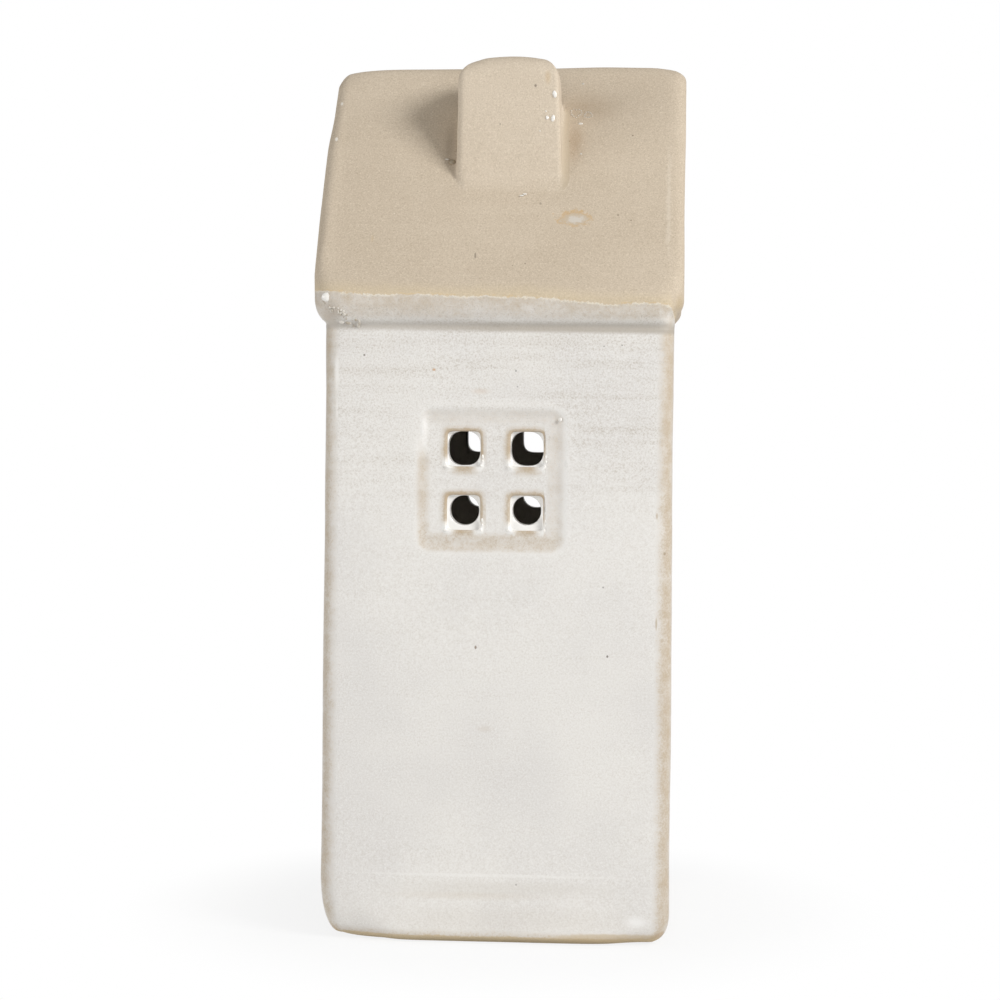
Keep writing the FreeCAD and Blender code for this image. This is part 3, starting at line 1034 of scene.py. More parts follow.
@dataclass
class Walls:
    """Four glazed walls in one shell, with the foot, two windows and the doorway."""

    half: float = 32.0
    corner: float = 3.5
    cavity: float = 27.0
    cavity_corner: float = 2.5
    height: float = 113.9
    draft: float = 0.65
    squareness: float = 0.37
    foot: float = 2.4
    side_steps: int = 36
    corner_steps: int = 10
    front_window: Window = field(default_factory=lambda: Window(Face.FRONT, -1.1, 86.0))
    back_window: Window = field(default_factory=lambda: Window(Face.BACK, 2.2, 87.1, -0.7, panes=BACK_PANES))
    doorway: Doorway = field(default_factory=Doorway)

    # The grid of a pressed wall: its steps, and the cells that the doorway and the panes take. Their
    # first columns lie two to the left of the doorway's and the panes' own lines.
    ACROSS_STEPS = (5, 7, 12, 14, 14, 12, 7, 5)
    HEIGHT_STEPS = (1, 44, 9, 12, 14, 14, 12, 11)
    FOOT_STEPS = 8
    PANE_STEPS = 14
    PANE_COLUMN = 22
    PANE_ROW = 74
    DOOR_COLUMNS = (3, 69)
    DOOR_ROWS = (9, 53)
    DRIP = (-13.8, -32.0, 95.4)

    def across_lines(self, window: Window) -> Array:
        """Places across a pressed wall, closer together round the press mark and its panes."""
        core = self.half - self.corner
        rim = self.doorway.rim_x
        panes = window.panel_x + window.shift_x
        knots = [
            -core, -rim, window.panel_x - window.border_x, panes - window.rim_x, panes, panes + window.rim_x,
            window.panel_x + window.border_x, rim, core,
        ]
        return spaced(knots, self.ACROSS_STEPS)

    def height_lines(self, window: Window) -> Array:
        """Heights up a pressed wall: the foot's curve, the doorway, the press mark and the top."""
        foot = self.foot * (1.0 - np.cos(np.linspace(0.0, QUARTER, self.FOOT_STEPS + 1)))
        panes = window.panel_z + window.shift_z
        knots = [
            self.foot, self.doorway.rim_low, self.doorway.rim_high, window.panel_z - window.border_z,
            panes - window.rim_z, panes, panes + window.rim_z, window.panel_z + window.border_z, self.height,
        ]
        return np.concatenate([foot[:-1], spaced(knots, self.HEIGHT_STEPS)])

    def unevenness(self, points: Array) -> Array:
        """How far the outside stands out by hand-made unevenness, in millimetres."""
        x, z = points[..., 0], points[..., 2]
        front = smooth((-points[..., 1] - 30.0) / 2.0) * smooth((29.0 - np.abs(x)) / 3.0)
        step = 0.12 * bell((z - 12.2) / 0.7) * front
        drip = 0.45 * bump_at(points, self.DRIP, (0.75, 3.0, 2.6))
        flare = 0.3 * smooth((z - 100.0) / 12.0) * smooth((-x - 31.0) / 1.5)
        right = (0.08 - 0.26 * smooth((44.0 - z) / 26.0)) * smooth(x - 31.0)
        return hand_made(points) + step + drip + flare + right

    def foot_height(self, loop: Loop) -> Array:
        """Height of the foot's rounding, larger at the front corners, which were sponged."""
        plan = raised(loop.place, 0.0)
        core = self.half - self.corner
        left = 9.5 * bump_at(plan, (-core, -core, 0.0), (6.0, 9.0, 1.0))
        right = 3.4 * bump_at(plan, (core, -core, 0.0), (6.0, 9.0, 1.0))
        return self.foot + left + right

    def foot_lift(self, loop: Loop) -> Array:
        """How far the foot's edge stands off the table in front, most at the left corner."""
        x, y = (loop.place / (self.half - self.corner)).T
        front = smooth((-y - 0.4) / 0.6)
        return front * (0.1 + 0.85 * np.exp(-9.6 * (x + 1.0)) + 0.3 * smooth((x - 0.75) / 0.25))

    def on_windows(
        self, loop: Loop, height: Array, measure: Callable[[Window, Array, Array], Array]
    ) -> Array:
        """A measure of the front and back windows on their own walls, 0 on the side walls."""
        across = loop.place[None, :, 0]
        front = np.where(loop.side == 0, measure(self.front_window, across, height), 0.0)
        return front + np.where(loop.side == 2, measure(self.back_window, -across, height), 0.0)

    def skin(self, loop: Loop, height: Array) -> Array:
        """Outside of the walls.

        Each point stands out from the core place by the corner radius, plus the draft that falls
        to 0 at the top, plus the unevenness, less the press marks and the foot's rounding, which is
        a quarter of a slightly square oval.

        Args:
            loop: The walls' plan.
            height: Height of each point, rows by columns.

        Returns:
            Rows by columns by 3.
        """
        lean = self.draft * (1.0 - height / self.height)
        rise = self.foot_height(loop)[None, :]
        below = np.clip(1.0 - height / rise, 0.0, 1.0)
        rounding = np.minimum(rise, self.corner + 0.5) * (1.0 - (1.0 - below ** 2.3) ** 0.435)
        plain = loop.at(self.corner + lean, height)
        stand = self.corner + lean + self.unevenness(plain) - rounding
        stand += self.squareness * loop.turned * (1.0 - smooth(below * 3.0))
        stand -= self.on_windows(loop, height, Window.sunk)
        return loop.at(stand, height + self.foot_lift(loop) * smooth(1.0 - height / rise))

    def face_out(self, window: Window, across: Array, height: Array) -> Array:
        """How far the outside of a pressed wall lies from the middle plane, at any place on it."""
        lean = self.draft * (1.0 - height / self.height)
        plain = self.to_house(window.face, across, self.half + lean, height)
        return self.half + lean + self.unevenness(plain) - window.sunk(across, height)

    def to_house(self, face: Face, across: Array, out: Array, height: Array) -> Array:
        """Points given across a wall, outwards and up, in the house's own axes."""
        across, out, height = np.broadcast_arrays(across, out, height)
        return np.stack([-face.value * across, face.value * out, height], axis=-1)

    def rim(self, columns: tuple[int, int], rows: tuple[int, int]) -> tuple[Array, Array]:
        """Rows and columns of the border of a block of cells, anticlockwise from its lower left."""
        across = np.arange(columns[0], columns[1])
        up = np.arange(rows[0], rows[1])
        row = [np.full_like(across, rows[0]), up, np.full_like(across, rows[1]), up[::-1] + 1]
        column = [across, np.full_like(up, columns[1]), across[::-1] + 1, np.full_like(up, columns[0])]
        return np.concatenate(row), np.concatenate(column)

    def add_panes(self, shell: Shell, window: Window, start: int, outer: Array, inner: Array) -> list[tuple]:
        """Adds the four panes of a window.

        Each pane runs from the border of its quarter of the press mark, in outlines about its
        middle, down its mouth, over the shelf of glaze, through its throat and out to the same
        quarter's border on the inside of the wall.

        Args:
            shell: The walls' mesh.
            window: The window.
            start: Column where the pressed wall starts.
            outer: Points of the outside.
            inner: Points of the inside.

        Returns:
            The blocks of cells that the panes take, as columns and rows.
        """
        blocks = []
        for number, pane in enumerate(window.panes):
            right_side, upper = divmod(number, 2)
            left = start + self.PANE_COLUMN + self.PANE_STEPS * right_side
            low = self.PANE_ROW + self.PANE_STEPS * upper
            columns, rows = (left, left + self.PANE_STEPS), (low, low + self.PANE_STEPS)
            blocks.append((columns, rows))
            row, column = self.rim(columns, rows)
            border, back = outer[row, column], inner[row, column]
            centre_x, centre_z = window.centre(number)
            border_x = -window.face.value * border[:, 0]
            angle = np.arctan2(border[:, 2] - centre_z, border_x - centre_x)
            sine, cosine = np.sin(angle), np.cos(angle)
            radii, drop, share, thin, pool, shift = window.pane_rows(angle, pane)
            edge = np.hypot(border[:, 2] - centre_z, border_x - centre_x)
            steps = np.linspace(0.0, 1.0, 7)[1:-1, None]
            mouth = radii[:1]
            flat = edge[None, :] * (1.0 - steps) + mouth * steps
            under = smooth(-sine * 2.0 - 0.9) * smooth(1.7 - np.abs(cosine) * 1.9)
            wide = 0.85 + 0.35 * under + 0.25 * np.abs(cosine)
            halo = bell((flat - mouth) / wide) * (0.56 + 0.22 * under)
            drop, share, shift, pool = (
                np.concatenate([np.zeros_like(steps), part]) for part in (drop, share, shift, pool)
            )
            thin = np.concatenate([halo, np.broadcast_to(thin, (len(thin), len(angle)))])
            radii = np.concatenate([flat, radii])
            from_mouth = radii - mouth
            across = centre_x + pane.shift_x * shift + radii * cosine
            height = centre_z + pane.shift_z * shift + radii * sine
            surface = self.face_out(window, across, height)
            corners = np.abs(np.sin(2.0 * angle)) ** 6 * (sine < 0.0)
            outside = share < 0.5
            swell = 0.28 * corners * bell(from_mouth / 0.4) * outside
            out = surface * (1.0 - share) + self.cavity * share - drop + swell
            middle = self.to_house(window.face, across, out, height)
            thin = np.maximum(thin * (1.0 - 0.7 * corners), window.tan(across, height) * outside)
            pool = np.maximum(pool, corners * (np.abs(from_mouth) < 0.5) * outside)
            inside = np.broadcast_to(smooth((share - 0.7) / 0.3), thin.shape)
            pad = np.zeros((1, len(angle)))
            shell.add(
                np.concatenate([border[None], middle, back[None]]),
                wrap=True,
                thin=np.concatenate([window.tan(border_x, border[:, 2])[None], thin, pad]),
                pool=np.concatenate([pad, pool, pad]),
                inner=np.concatenate([pad, inside, pad + 1.0]),
            )
        return blocks

    def add_doorway(self, shell: Shell, start: int, outer: Array, inner: Array) -> tuple:
        """Adds the doorway's edges and reveal between the outside and the inside of the back wall."""
        door = self.doorway
        columns = (start + self.DOOR_COLUMNS[0], start + self.DOOR_COLUMNS[1])
        row, column = self.rim(columns, self.DOOR_ROWS)
        border, back = outer[row, column], inner[row, column]
        across, height = -border[:, 0], border[:, 2]
        angle = np.arctan2(height - door.centre_height, across)
        turn = np.linspace(0.0, QUARTER, 9)
        through = np.linspace(0.0, 1.0, 9)[1:]
        grow = np.concatenate([door.edge * (1.0 - np.sin(turn)), np.zeros(8), [0.05, 0.2]])
        drop = np.concatenate([door.edge * (1.0 - np.cos(turn)), door.edge * (1.0 - through), [0.0, 0.0]])
        share = np.concatenate([np.zeros(9), through, [1.0, 1.0]])
        thin = np.concatenate([0.4 + 0.6 * np.sin(2.0 * turn), 0.5 * (1.0 - through), [0.0, 0.0]])
        outline = door.outline(angle[None, :], grow[:, None])
        steps = np.linspace(0.0, 1.0, 4)[1:-1, None, None]
        flat = np.stack([across, height], axis=-1)[None] * (1.0 - steps) + outline[:1] * steps
        plan = np.concatenate([flat, outline])
        drop, share, thin = (np.concatenate([np.zeros(2), part])[:, None] for part in (drop, share, thin))
        surface = self.face_out(self.back_window, plan[..., 0], plan[..., 1])
        out = surface * (1.0 - share) + self.cavity * share - drop
        middle = self.to_house(Face.BACK, plan[..., 0], out, plan[..., 1])
        inside = np.broadcast_to(smooth((share - 0.3) / 0.5), middle.shape[:2])
        pad = np.zeros((1, len(angle)))
        shell.add(
            np.concatenate([border[None], middle, back[None]]),
            wrap=True,
            thin=np.concatenate([pad, np.broadcast_to(thin, middle.shape[:2]), pad]),
            inner=np.concatenate([pad, inside, pad + 1.0]),
        )
        return columns, self.DOOR_ROWS

    def build(self) -> Thing:
        """Makes the shell: outside, top, inside and foot, with the openings joined through it.

        Returns:
            The walls as one closed mesh.
        """
        front, back = self.across_lines(self.front_window), self.across_lines(self.back_window)
        loop = Loop(self.half, self.corner, front, back, self.side_steps, self.corner_steps)
        core_in = self.cavity - self.cavity_corner
        rim = self.doorway.rim_x
        knots = [-self.half + self.corner, -rim, rim, self.half - self.corner]
        inner_knots = [-core_in, -rim + 0.8, rim - 0.8, core_in]
        flat_in = [np.interp(line, knots, inner_knots) for line in (front, back)]
        inner_loop = Loop(self.cavity, self.cavity_corner, *flat_in, self.side_steps, self.corner_steps)
        behind = np.clip((loop.place[:, 1] / (self.half - self.corner) + 1.0) / 2.0, 0.0, 1.0)
        low, high = self.height_lines(self.front_window), self.height_lines(self.back_window)
        height = low[:, None] * (1.0 - behind) + high[:, None] * behind
        outer = self.skin(loop, height)
        inner = inner_loop.at(np.full_like(height, self.cavity_corner), height)
        shell = Shell("walls_glazed", CLAY_CHANNELS)
        back_start = len(front) + self.side_steps + 1 + 2 * (self.corner_steps - 1)
        blocks = self.add_panes(shell, self.front_window, 0, outer, inner)
        blocks += self.add_panes(shell, self.back_window, back_start, outer, inner)
        blocks.append(self.add_doorway(shell, back_start, outer, inner))
        skip = np.zeros((height.shape[0] - 1, height.shape[1]), dtype=bool)
        for columns, rows in blocks:
            skip[rows[0]:rows[1], columns[0]:columns[1]] = True
        thin = np.broadcast_to(loop.turned ** 0.8 * 0.58, height.shape).copy()
        right = 0.2 * smooth((outer[..., 0] - 28.2) / 3.0) + 0.1 * smooth((outer[..., 0] - 31.6) / 0.8)
        right += 0.12 * smooth((-30.4 - outer[..., 0]) / 1.4)
        thin += right * smooth((-24.0 - outer[..., 1]) / 4.0)
        thin += self.on_windows(loop, height, Window.tan)
        drip = 0.6 * bump_at(outer, self.DRIP, (0.7, 3.0, 2.7))
        pool = drip + self.on_windows(loop, height, Window.ridge)
        shell.add(outer, wrap=True, skip=skip, thin=thin * (1.0 - drip), pool=np.minimum(pool, 1.0))
        shell.add(inner, wrap=True, flip=True, skip=skip, inner=1.0)
        shell.add(np.stack([outer[-1], inner[-1]]), wrap=True, inner=1.0)
        shell.add(np.stack([inner[0], outer[0]]), wrap=True, inner=0.0)
        return shell.build()


@dataclass
class Roof:
    """Bare clay hat: the rolled lip, gables and slopes, hollow inside."""

    FAR = 90.0

    walls: Walls
    overhang: float = 2.3
    pitch: float = math.radians(53.8)
    thickness: float = 5.0
    lip_radius: float = 5.0
    cove: float = 0.8
    lip_top: float = 119.425
    sharp_ridge: float = 167.174
    verge_radius: float = 2.4
    eave_radius: float = 0.8
    ridge_radius: float = 3.3
    spine: float = 28.0
    inner_spine: float = 20.0
    edge_band: float = 3.4
    flat_steps: int = 60
    corner_steps: int = 10

    def unevenness(self, points: Array) -> Array:
        """Hand-made unevenness, the walls' own where they meet, with lumps of glaze in the cove."""
        cove = 0.3 * bump_at(points, (-27.6, -32.5, 115.2), (1.1, 1.5, 0.9))
        cove += 0.22 * bump_at(points, (-24.9, -32.5, 115.4), (0.8, 1.5, 0.6))
        drip = 0.3 * bump_at(points, (0.3, -32.4, 114.9), (0.9, 1.5, 0.55))
        blob = 0.35 * bump_at(points, (-31.3, -33.2, 119.4), (0.9, 1.6, 0.9))
        x, z = points[..., 0], points[..., 2]
        above = smooth((z - 114.2) / 2.5)
        right = (-0.45 + 0.2 * smooth((z - 140.0) / 14.0)) * smooth((x - 30.5) / 3.0) * above
        right += 0.08 * smooth(x - 31.0) * (1.0 - above)
        right -= 0.9 * smooth((x - 30.0) / 2.0) * bell((z - 116.2) / 1.4) * smooth((z - 113.9) / 1.2)
        left = 0.35 * smooth((-x - 30.5) / 3.0) * bell((z - 138.0) / 18.0)
        flare = 0.3 * smooth((-x - 31.0) / 1.5) * smooth((119.0 - z) / 4.0)
        ridge = -0.5 * smooth((z - 148.0) / 8.0) - 0.8 * smooth((z - 163.0) / 3.0)
        from_left = np.maximum(x + 34.0, 0.0)
        ridge *= np.exp(-from_left / 5.0)
        ridge -= np.exp(-from_left / 2.2) * smooth((z - 161.5) / 2.5)
        ridge += 0.2 * bell((x - 16.0) / 9.0) * smooth((z - 160.0) / 4.0)
        ridge -= 0.45 * smooth((x - 27.0) / 6.0) * smooth((z - 163.5) / 2.0)
        return hand_made(points) + cove + drip + blob + right + left + flare + ridge

    def slopes(self, points: Array) -> Array:
        """Signed distance from the two slopes, with the ridge rounded between them."""
        y, z = points[..., 1], points[..., 2]
        sine, cosine = math.sin(self.pitch), math.cos(self.pitch)
        lift = (z - self.sharp_ridge) * cosine
        return round_max(-y * sine + lift, y * sine + lift, self.ridge_radius)

    def outside(self, radius: Array) -> Distance:
        """Signed distance of the hat above its lip; its verges are rounder near the ridge."""
        half = self.walls.half + self.overhang
        corner = self.walls.corner + self.overhang

        def distance(points: Array) -> Array:
            """Rounded overlap of the plan and the slopes, less the unevenness."""
            plan = block_distance(points[..., 0], points[..., 1], half, half, corner)
            high = smooth((points[..., 2] - 150.0) / 12.0)
            edge = radius + high * np.where(points[..., 0] < 0.0, 0.5, 0.2)
            return round_max(plan, self.slopes(points), edge) - self.unevenness(points)

        return distance

    def hollow(self, points: Array) -> Array:
        """Signed distance of the space inside, one thickness below the slopes."""
        half, corner = self.walls.cavity, self.walls.cavity_corner
        plan = block_distance(points[..., 0], points[..., 1], half, half, corner)
        return round_max(plan, self.slopes(points) + self.thickness, 0.6)

    def lip_rows(self) -> tuple[Array, Array]:
        """Overhang and height of each row from the wall up round the cove and the lip.

        A cove arc leaves the wall upright and meets the lip's arc, which ends upright at its top.
        """
        level = self.lip_radius - self.overhang + self.cove
        rise = math.sqrt((self.lip_radius + self.cove) ** 2 - level ** 2)
        meet = math.atan2(rise, level)
        start = self.lip_top - rise
        hollow = np.linspace(0.0, meet, 7)
        bulge = np.linspace(meet, 0.0, 13)[1:]
        cove_stand = self.cove * (1.0 - np.cos(hollow))
        lip_stand = self.overhang - self.lip_radius * (1.0 - np.cos(bulge))
        cove_height = start + self.cove * np.sin(hollow)
        lip_height = self.lip_top - self.lip_radius * np.sin(bulge)
        stand = np.concatenate([[0.0], cove_stand, lip_stand])
        return stand, np.concatenate([[self.walls.height], cove_height, lip_height])

    def lip_reach(self, loop: Loop) -> Array:
        """How much deeper the lip hangs than its arcs: most in front and on the right."""
        front = np.clip(-loop.out[:, 1], 0.0, 1.0)
        right = np.clip(loop.out[:, 0], 0.0, 1.0)
        return 1.03 + 0.15 * np.maximum(front, right)

    def fan(
        self, loop: Loop, radius: float, spine: float, base: float, ridge: float
    ) -> tuple[Array, Array, Array]:
        """Lines that fan up from the house's middle to the hat, for each point of the plan.

        Args:
            loop: The plan.
            radius: Corner radius that puts the loop on the upright faces.
            spine: Half length of the line under the ridge that the fans start on.
            base: Height of that line.
            ridge: Height at which the slopes would meet.

        Returns:
            The fans' starts, their level directions, and the angle at which each meets the edge
            between the upright face and the slope.
        """
        rim = loop.place + loop.out * radius
        start = np.stack([np.clip(loop.place[:, 0], -spine, spine), np.zeros(len(rim))], axis=-1)
        level = rim - start
        length = np.linalg.norm(level, axis=1)
        edge = ridge - np.abs(rim[:, 1]) * math.tan(self.pitch) - base
        return raised(start, base), level / length[:, None], np.arctan2(np.maximum(edge, 0.2), length)

    def fan_lines(self, level: Array, angle: Array) -> Array:
        """Directions of the fan lines: level ones tilted up by the angles of each row."""
        return np.concatenate([level * np.cos(angle)[..., None], np.sin(angle)[..., None]], axis=-1)

    def upper_rows(self, loop: Loop) -> Array:
        """Outside of the hat above the lip: where each fan line leaves it, closest round the edges."""
        radius = self.walls.corner + self.overhang
        starts, level, edge = self.fan(loop, radius, self.spine, self.lip_top, self.sharp_ridge)
        half = self.walls.half + self.overhang
        spread = np.arctan2(self.edge_band, np.hypot(half - np.abs(starts[:, 0]), edge * 20.0) + 6.0)
        top = np.full_like(edge, QUARTER)
        ridge = np.arctan2(self.edge_band, 46.0)
        low = np.maximum(edge - spread, edge * 0.5)
        high = np.minimum(edge + spread, top - 2.2 * ridge)
        high = np.maximum(high, edge * 0.5 + top * 0.5 - ridge)
        high = np.minimum(high, top - 1.5 * ridge)
        angle = spaced_rows([np.zeros_like(edge), low, high, top - ridge, top], (12, 16, 34, 6))
        share = np.abs(loop.out[:, 1]) ** 2
        edges = self.verge_radius * (1.0 - share) + self.eave_radius * share
        return reach(self.outside(edges[None, :]), starts[None], self.fan_lines(level, angle), self.FAR)

    def inner_rows(self, loop: Loop) -> Array:
        """Inside of the hat, on the same fans."""
        ridge = self.sharp_ridge - self.thickness / math.cos(self.pitch)
        corner = self.walls.cavity_corner
        starts, level, edge = self.fan(loop, corner, self.inner_spine, self.walls.height, ridge)
        top = np.full_like(edge, QUARTER)
        angle = spaced_rows([np.zeros_like(edge), edge * 0.98, edge * 0.98 + top * 0.02, top], (3, 2, 10))
        return reach(self.hollow, starts[None], self.fan_lines(level, angle), self.FAR)

    def loop(self, half: float, corner: float) -> Loop:
        """Plan of the hat with evenly split sides."""
        flat = np.linspace(corner - half, half - corner, self.flat_steps + 1)
        return Loop(half, corner, flat, flat, self.flat_steps, self.corner_steps)

    def build(self) -> Thing:
        """Makes the hat.

        Returns:
            The roof as one closed mesh.
        """
        loop = self.loop(self.walls.half, self.walls.corner)
        stand, height = self.lip_rows()
        drop = self.lip_top - np.broadcast_to(height[:, None], (len(height), len(loop.place)))
        level = np.maximum(self.lip_top - drop * self.lip_reach(loop)[None, :], self.walls.height)
        plain = loop.at(self.walls.corner + np.broadcast_to(stand[:, None], level.shape), level)
        square = self.walls.squareness * loop.turned[None, :] * smooth(drop / 3.0 - 0.7)
        lip = loop.at(self.walls.corner + stand[:, None] + square + self.unevenness(plain), level)
        upper = self.upper_rows(loop)
        outer = np.concatenate([lip, upper[1:]])
        inner_loop = self.loop(self.walls.cavity, self.walls.cavity_corner)
        rim = inner_loop.at(np.full((1, len(loop.place)), self.walls.cavity_corner), self.walls.height)
        inner = np.concatenate([rim, self.inner_rows(inner_loop)[1:]])
        rising = smooth((outer[..., 2] - self.walls.height - 0.6) / 2.0)
        lip_thin = 0.42 + 0.1 * smooth(outer[..., 0] / 24.0) + 0.14 * smooth((outer[..., 2] - 116.6) / 2.0)
        thin = np.maximum(loop.turned[None, :] ** 0.8 * 0.5, lip_thin * rising)
        shell = Shell("roof_bare_clay", CLAY_CHANNELS)
        shell.add(outer, wrap=True, thin=thin)
        shell.add(inner, wrap=True, flip=True, inner=1.0)
        shell.add(np.stack([inner[0], outer[0]]), wrap=True, inner=1.0)
        return shell.build()


@dataclass
class Chimney:
    """Tapered clay block luted to the front slope, its joints smoothed with slip."""

    roof: Roof
    top: float = 165.75
    foot: float = 141.5
    top_x: float = 0.45
    foot_x: float = 0.85
    centre_y: float = -13.0
    top_half_x: float = 9.35
    foot_half_x: float = 10.05
    top_half_y: float = 5.5
    foot_half_y: float = 5.8
    corner: float = 2.2
    left_corner: float = 1.4
    right_corner: float = 0.9
    crown: float = 2.9
    flat_steps: int = 26
    corner_steps: int = 10
    ridge_soft: float = 1.2
    seed_back: float = 3.5
    seed_far: float = 8.0
    rim_sunk: float = 0.1
    under_depth: float = 1.2
    skirt_past: float = 0.5

    def spread(self, height: Array) -> tuple[Array, Array, Array]:
        """Middle x and the two half widths at a height, between those of the top and the foot."""
        share = (self.top - height) / (self.top - self.foot)
        middle = self.top_x + (self.foot_x - self.top_x) * share
        half_x = self.top_half_x + (self.foot_half_x - self.top_half_x) * share
        half_y = self.top_half_y + (self.foot_half_y - self.top_half_y) * share
        return middle, half_x, half_y

    def dome(self, x: Array, y: Array) -> Array:
        """Height of the crowned top: highest near its middle, falling with the distance squared."""
        shoulder = 0.45 * smooth((-x - 3.2) / 4.6)
        across, deep = (x - 1.2) / 7.4, (y - self.centre_y + 1.5) / 6.0
        return self.top - 0.75 * across ** 2 - 0.5 * deep ** 2 - shoulder

    def fillet(self, out: Array) -> Array:
        """Radius of the slip in the joint: wider in front and on the right, tight elsewhere."""
        left, front = np.clip(-out[..., 0], 0.0, 1.0), np.clip(-out[..., 1], 0.0, 1.0)
        back = smooth(np.clip(out[..., 1], 0.0, 1.0) * 1.6)
        return np.maximum(1.55 - 1.15 * left ** 0.5 - 0.35 * front - back, 0.4)

    def surface(self, radius: Array) -> Distance:
        """Signed distance of the block joined to the slopes by a fillet of the given radius."""

        def distance(points: Array) -> Array:
            """Rounded block joined to the roof, less its unevenness."""
            x, y, z = points[..., 0], points[..., 1], points[..., 2]
            middle, half_x, half_y = self.spread(z)
            corner = np.where(x < middle, self.left_corner, self.right_corner)
            sides = block_distance(x - middle, y - self.centre_y, half_x, half_y, corner)
            block = round_max(sides, z - self.dome(x, y), self.crown) - ripple(points, 9.0, 8) * 0.07
            slopes = self.roof.slopes(points) - self.roof.unevenness(points)
            return round_min(block, slopes, radius)

        return distance

    def roof_height(self, y: Array) -> Array:
        """Height of the roof under the block: the slopes with a hyperbola for the rounded ridge."""
        return self.roof.sharp_ridge - math.tan(self.roof.pitch) * np.sqrt(y ** 2 + self.ridge_soft ** 2)

    def build(self) -> Thing:
        """Makes the block.

        Each column runs from the middle of the top over the crown, down the side and out along the
        slope. Its points start on the sharp-edged form and are moved along a direction that turns
        from upright through outwards to the slope's own, onto the rounded form. Behind the block
        the last direction is upright, because the slope's own would meet the block again.

        Returns:
            The chimney as one closed mesh, its rim sunk a little into the roof.
        """
        core = 1.0 - self.corner / self.foot_half_x
        flat = np.linspace(-core, core, self.flat_steps + 1)
        loop = Loop(1.0, 1.0 - core, flat, flat, self.flat_steps, self.corner_steps)
        sign = loop.place / core
        out = raised(loop.out, 0.0)[None]
        corner = np.where(sign[:, 0] > 0.0, self.right_corner, self.left_corner)

        def contour(height: Array, grow: float = 0.0) -> Array:
            """Plan outline of the block at a height, grown by a distance."""
            middle, half_x, half_y = self.spread(height)
            x = middle + sign[:, 0] * (half_x - corner) + loop.out[:, 0] * (corner + grow)
            y = self.centre_y + sign[:, 1] * (half_y - corner) + loop.out[:, 1] * (corner + grow)
            return np.stack([x, y], axis=-1)

        across = np.array([0.0, 0.3, 0.55, 0.68, 0.76, 0.82, 0.87, 0.91, 0.94, 0.97])[:, None]
        rim = contour(np.full(len(sign), self.top))
        middle = np.array([self.top_x, self.centre_y])
        plan = middle + (rim[None] - middle) * across[..., None]
        upper = raised(plan, self.dome(plan[..., 0], plan[..., 1]))
        upright = np.broadcast_to(np.array([0.0, 0.0, 1.0]), upper.shape)
        lean = smooth((across - 0.66) / 0.34)[..., None]
        upper_lines = unit(upright * (1.0 - 0.5 * lean) + out * 0.5 * lean)

        edge = self.dome(rim[:, 0], rim[:, 1])
        base = self.roof_height(rim[:, 1])
        for _ in range(4):
            base = self.roof_height(contour(base)[:, 1])
        tall = edge - base
        crown = np.minimum(3.2, tall * 0.4)
        toe = np.minimum(4.2, tall * 0.4)
        height = spaced_rows([edge, edge - crown, base + toe, base], (9, 12, 9))
        side = np.stack([raised(contour(row), row) for row in height])
        slope_y = contour(base)[:, 1]
        tilt = math.tan(self.roof.pitch) * slope_y / np.sqrt(slope_y ** 2 + self.ridge_soft ** 2)
        outward = unit(np.stack([np.zeros_like(tilt), tilt, np.ones_like(tilt)], axis=-1))[None]
        from_top = smooth(1.0 - (edge - height) / crown)[..., None] * 0.5
        from_base = smooth(1.0 - (height - base) / toe)[..., None] * 0.5
        side_lines = unit(out * (1.0 - from_top - from_base) + upright[:1] * from_top + outward * from_base)

        fillet = self.fillet(loop.out)
        wide = fillet + self.skirt_past
        grow = np.linspace(0.0, 1.0, 10)[1:, None] * wide
        skirt = np.stack([contour(base) + loop.out * row[:, None] for row in grow])
        skirt = raised(skirt, self.roof_height(skirt[..., 1]))
        away = smooth(grow / wide)[..., None]
        behind = smooth(np.clip(loop.out[:, 1], 0.0, 1.0) * 2.0)[None, :, None]
        free = outward * (1.0 - behind) + upright[:1] * behind
        skirt_lines = unit(out * 0.5 * (1.0 - away) + free * (0.5 + 0.5 * away))

        seeds = np.concatenate([upper, side, skirt])
        lines = np.concatenate([upper_lines, side_lines, skirt_lines])
        starts = seeds - lines * self.seed_back
        settled = reach(self.surface(fillet[None, :]), starts, lines, self.seed_far)
        skirt_sunk = smooth((away[:, :1, 0] - 0.75) / 0.25) * self.rim_sunk
        sunk = np.concatenate([np.zeros((len(upper) + len(side), 1)), skirt_sunk])
        settled -= outward * sunk[..., None]
        under = settled[-1] - outward[0] * self.under_depth
        centre = np.broadcast_to(under.mean(axis=0), under.shape)
        off = np.concatenate([
            np.full((len(upper), len(sign)), 1e3), height - base[None], np.zeros((len(skirt), len(sign))),
        ])
        # paler: a lighter tone over the chimney's block, fading out over its joint and skirt and a little at
        # its top
        paler = smooth((off + 0.3 * ripple(settled, 6.0, 9) + 1.6) / 3.2)
        paler[-len(skirt):] *= 1.0 - away[..., 0]
        paler *= 1.0 - 0.35 * smooth((settled[..., 2] - 162.5) / 2.5)
        shell = Shell("chimney_bare_clay", CLAY_CHANNELS)
        pad = np.zeros((2, len(sign)))
        shell.add(
            np.concatenate([settled, under[None], centre[None]]), wrap=True, flip=True,
            paler=np.concatenate([paler, pad]),
        )
        return shell.build()


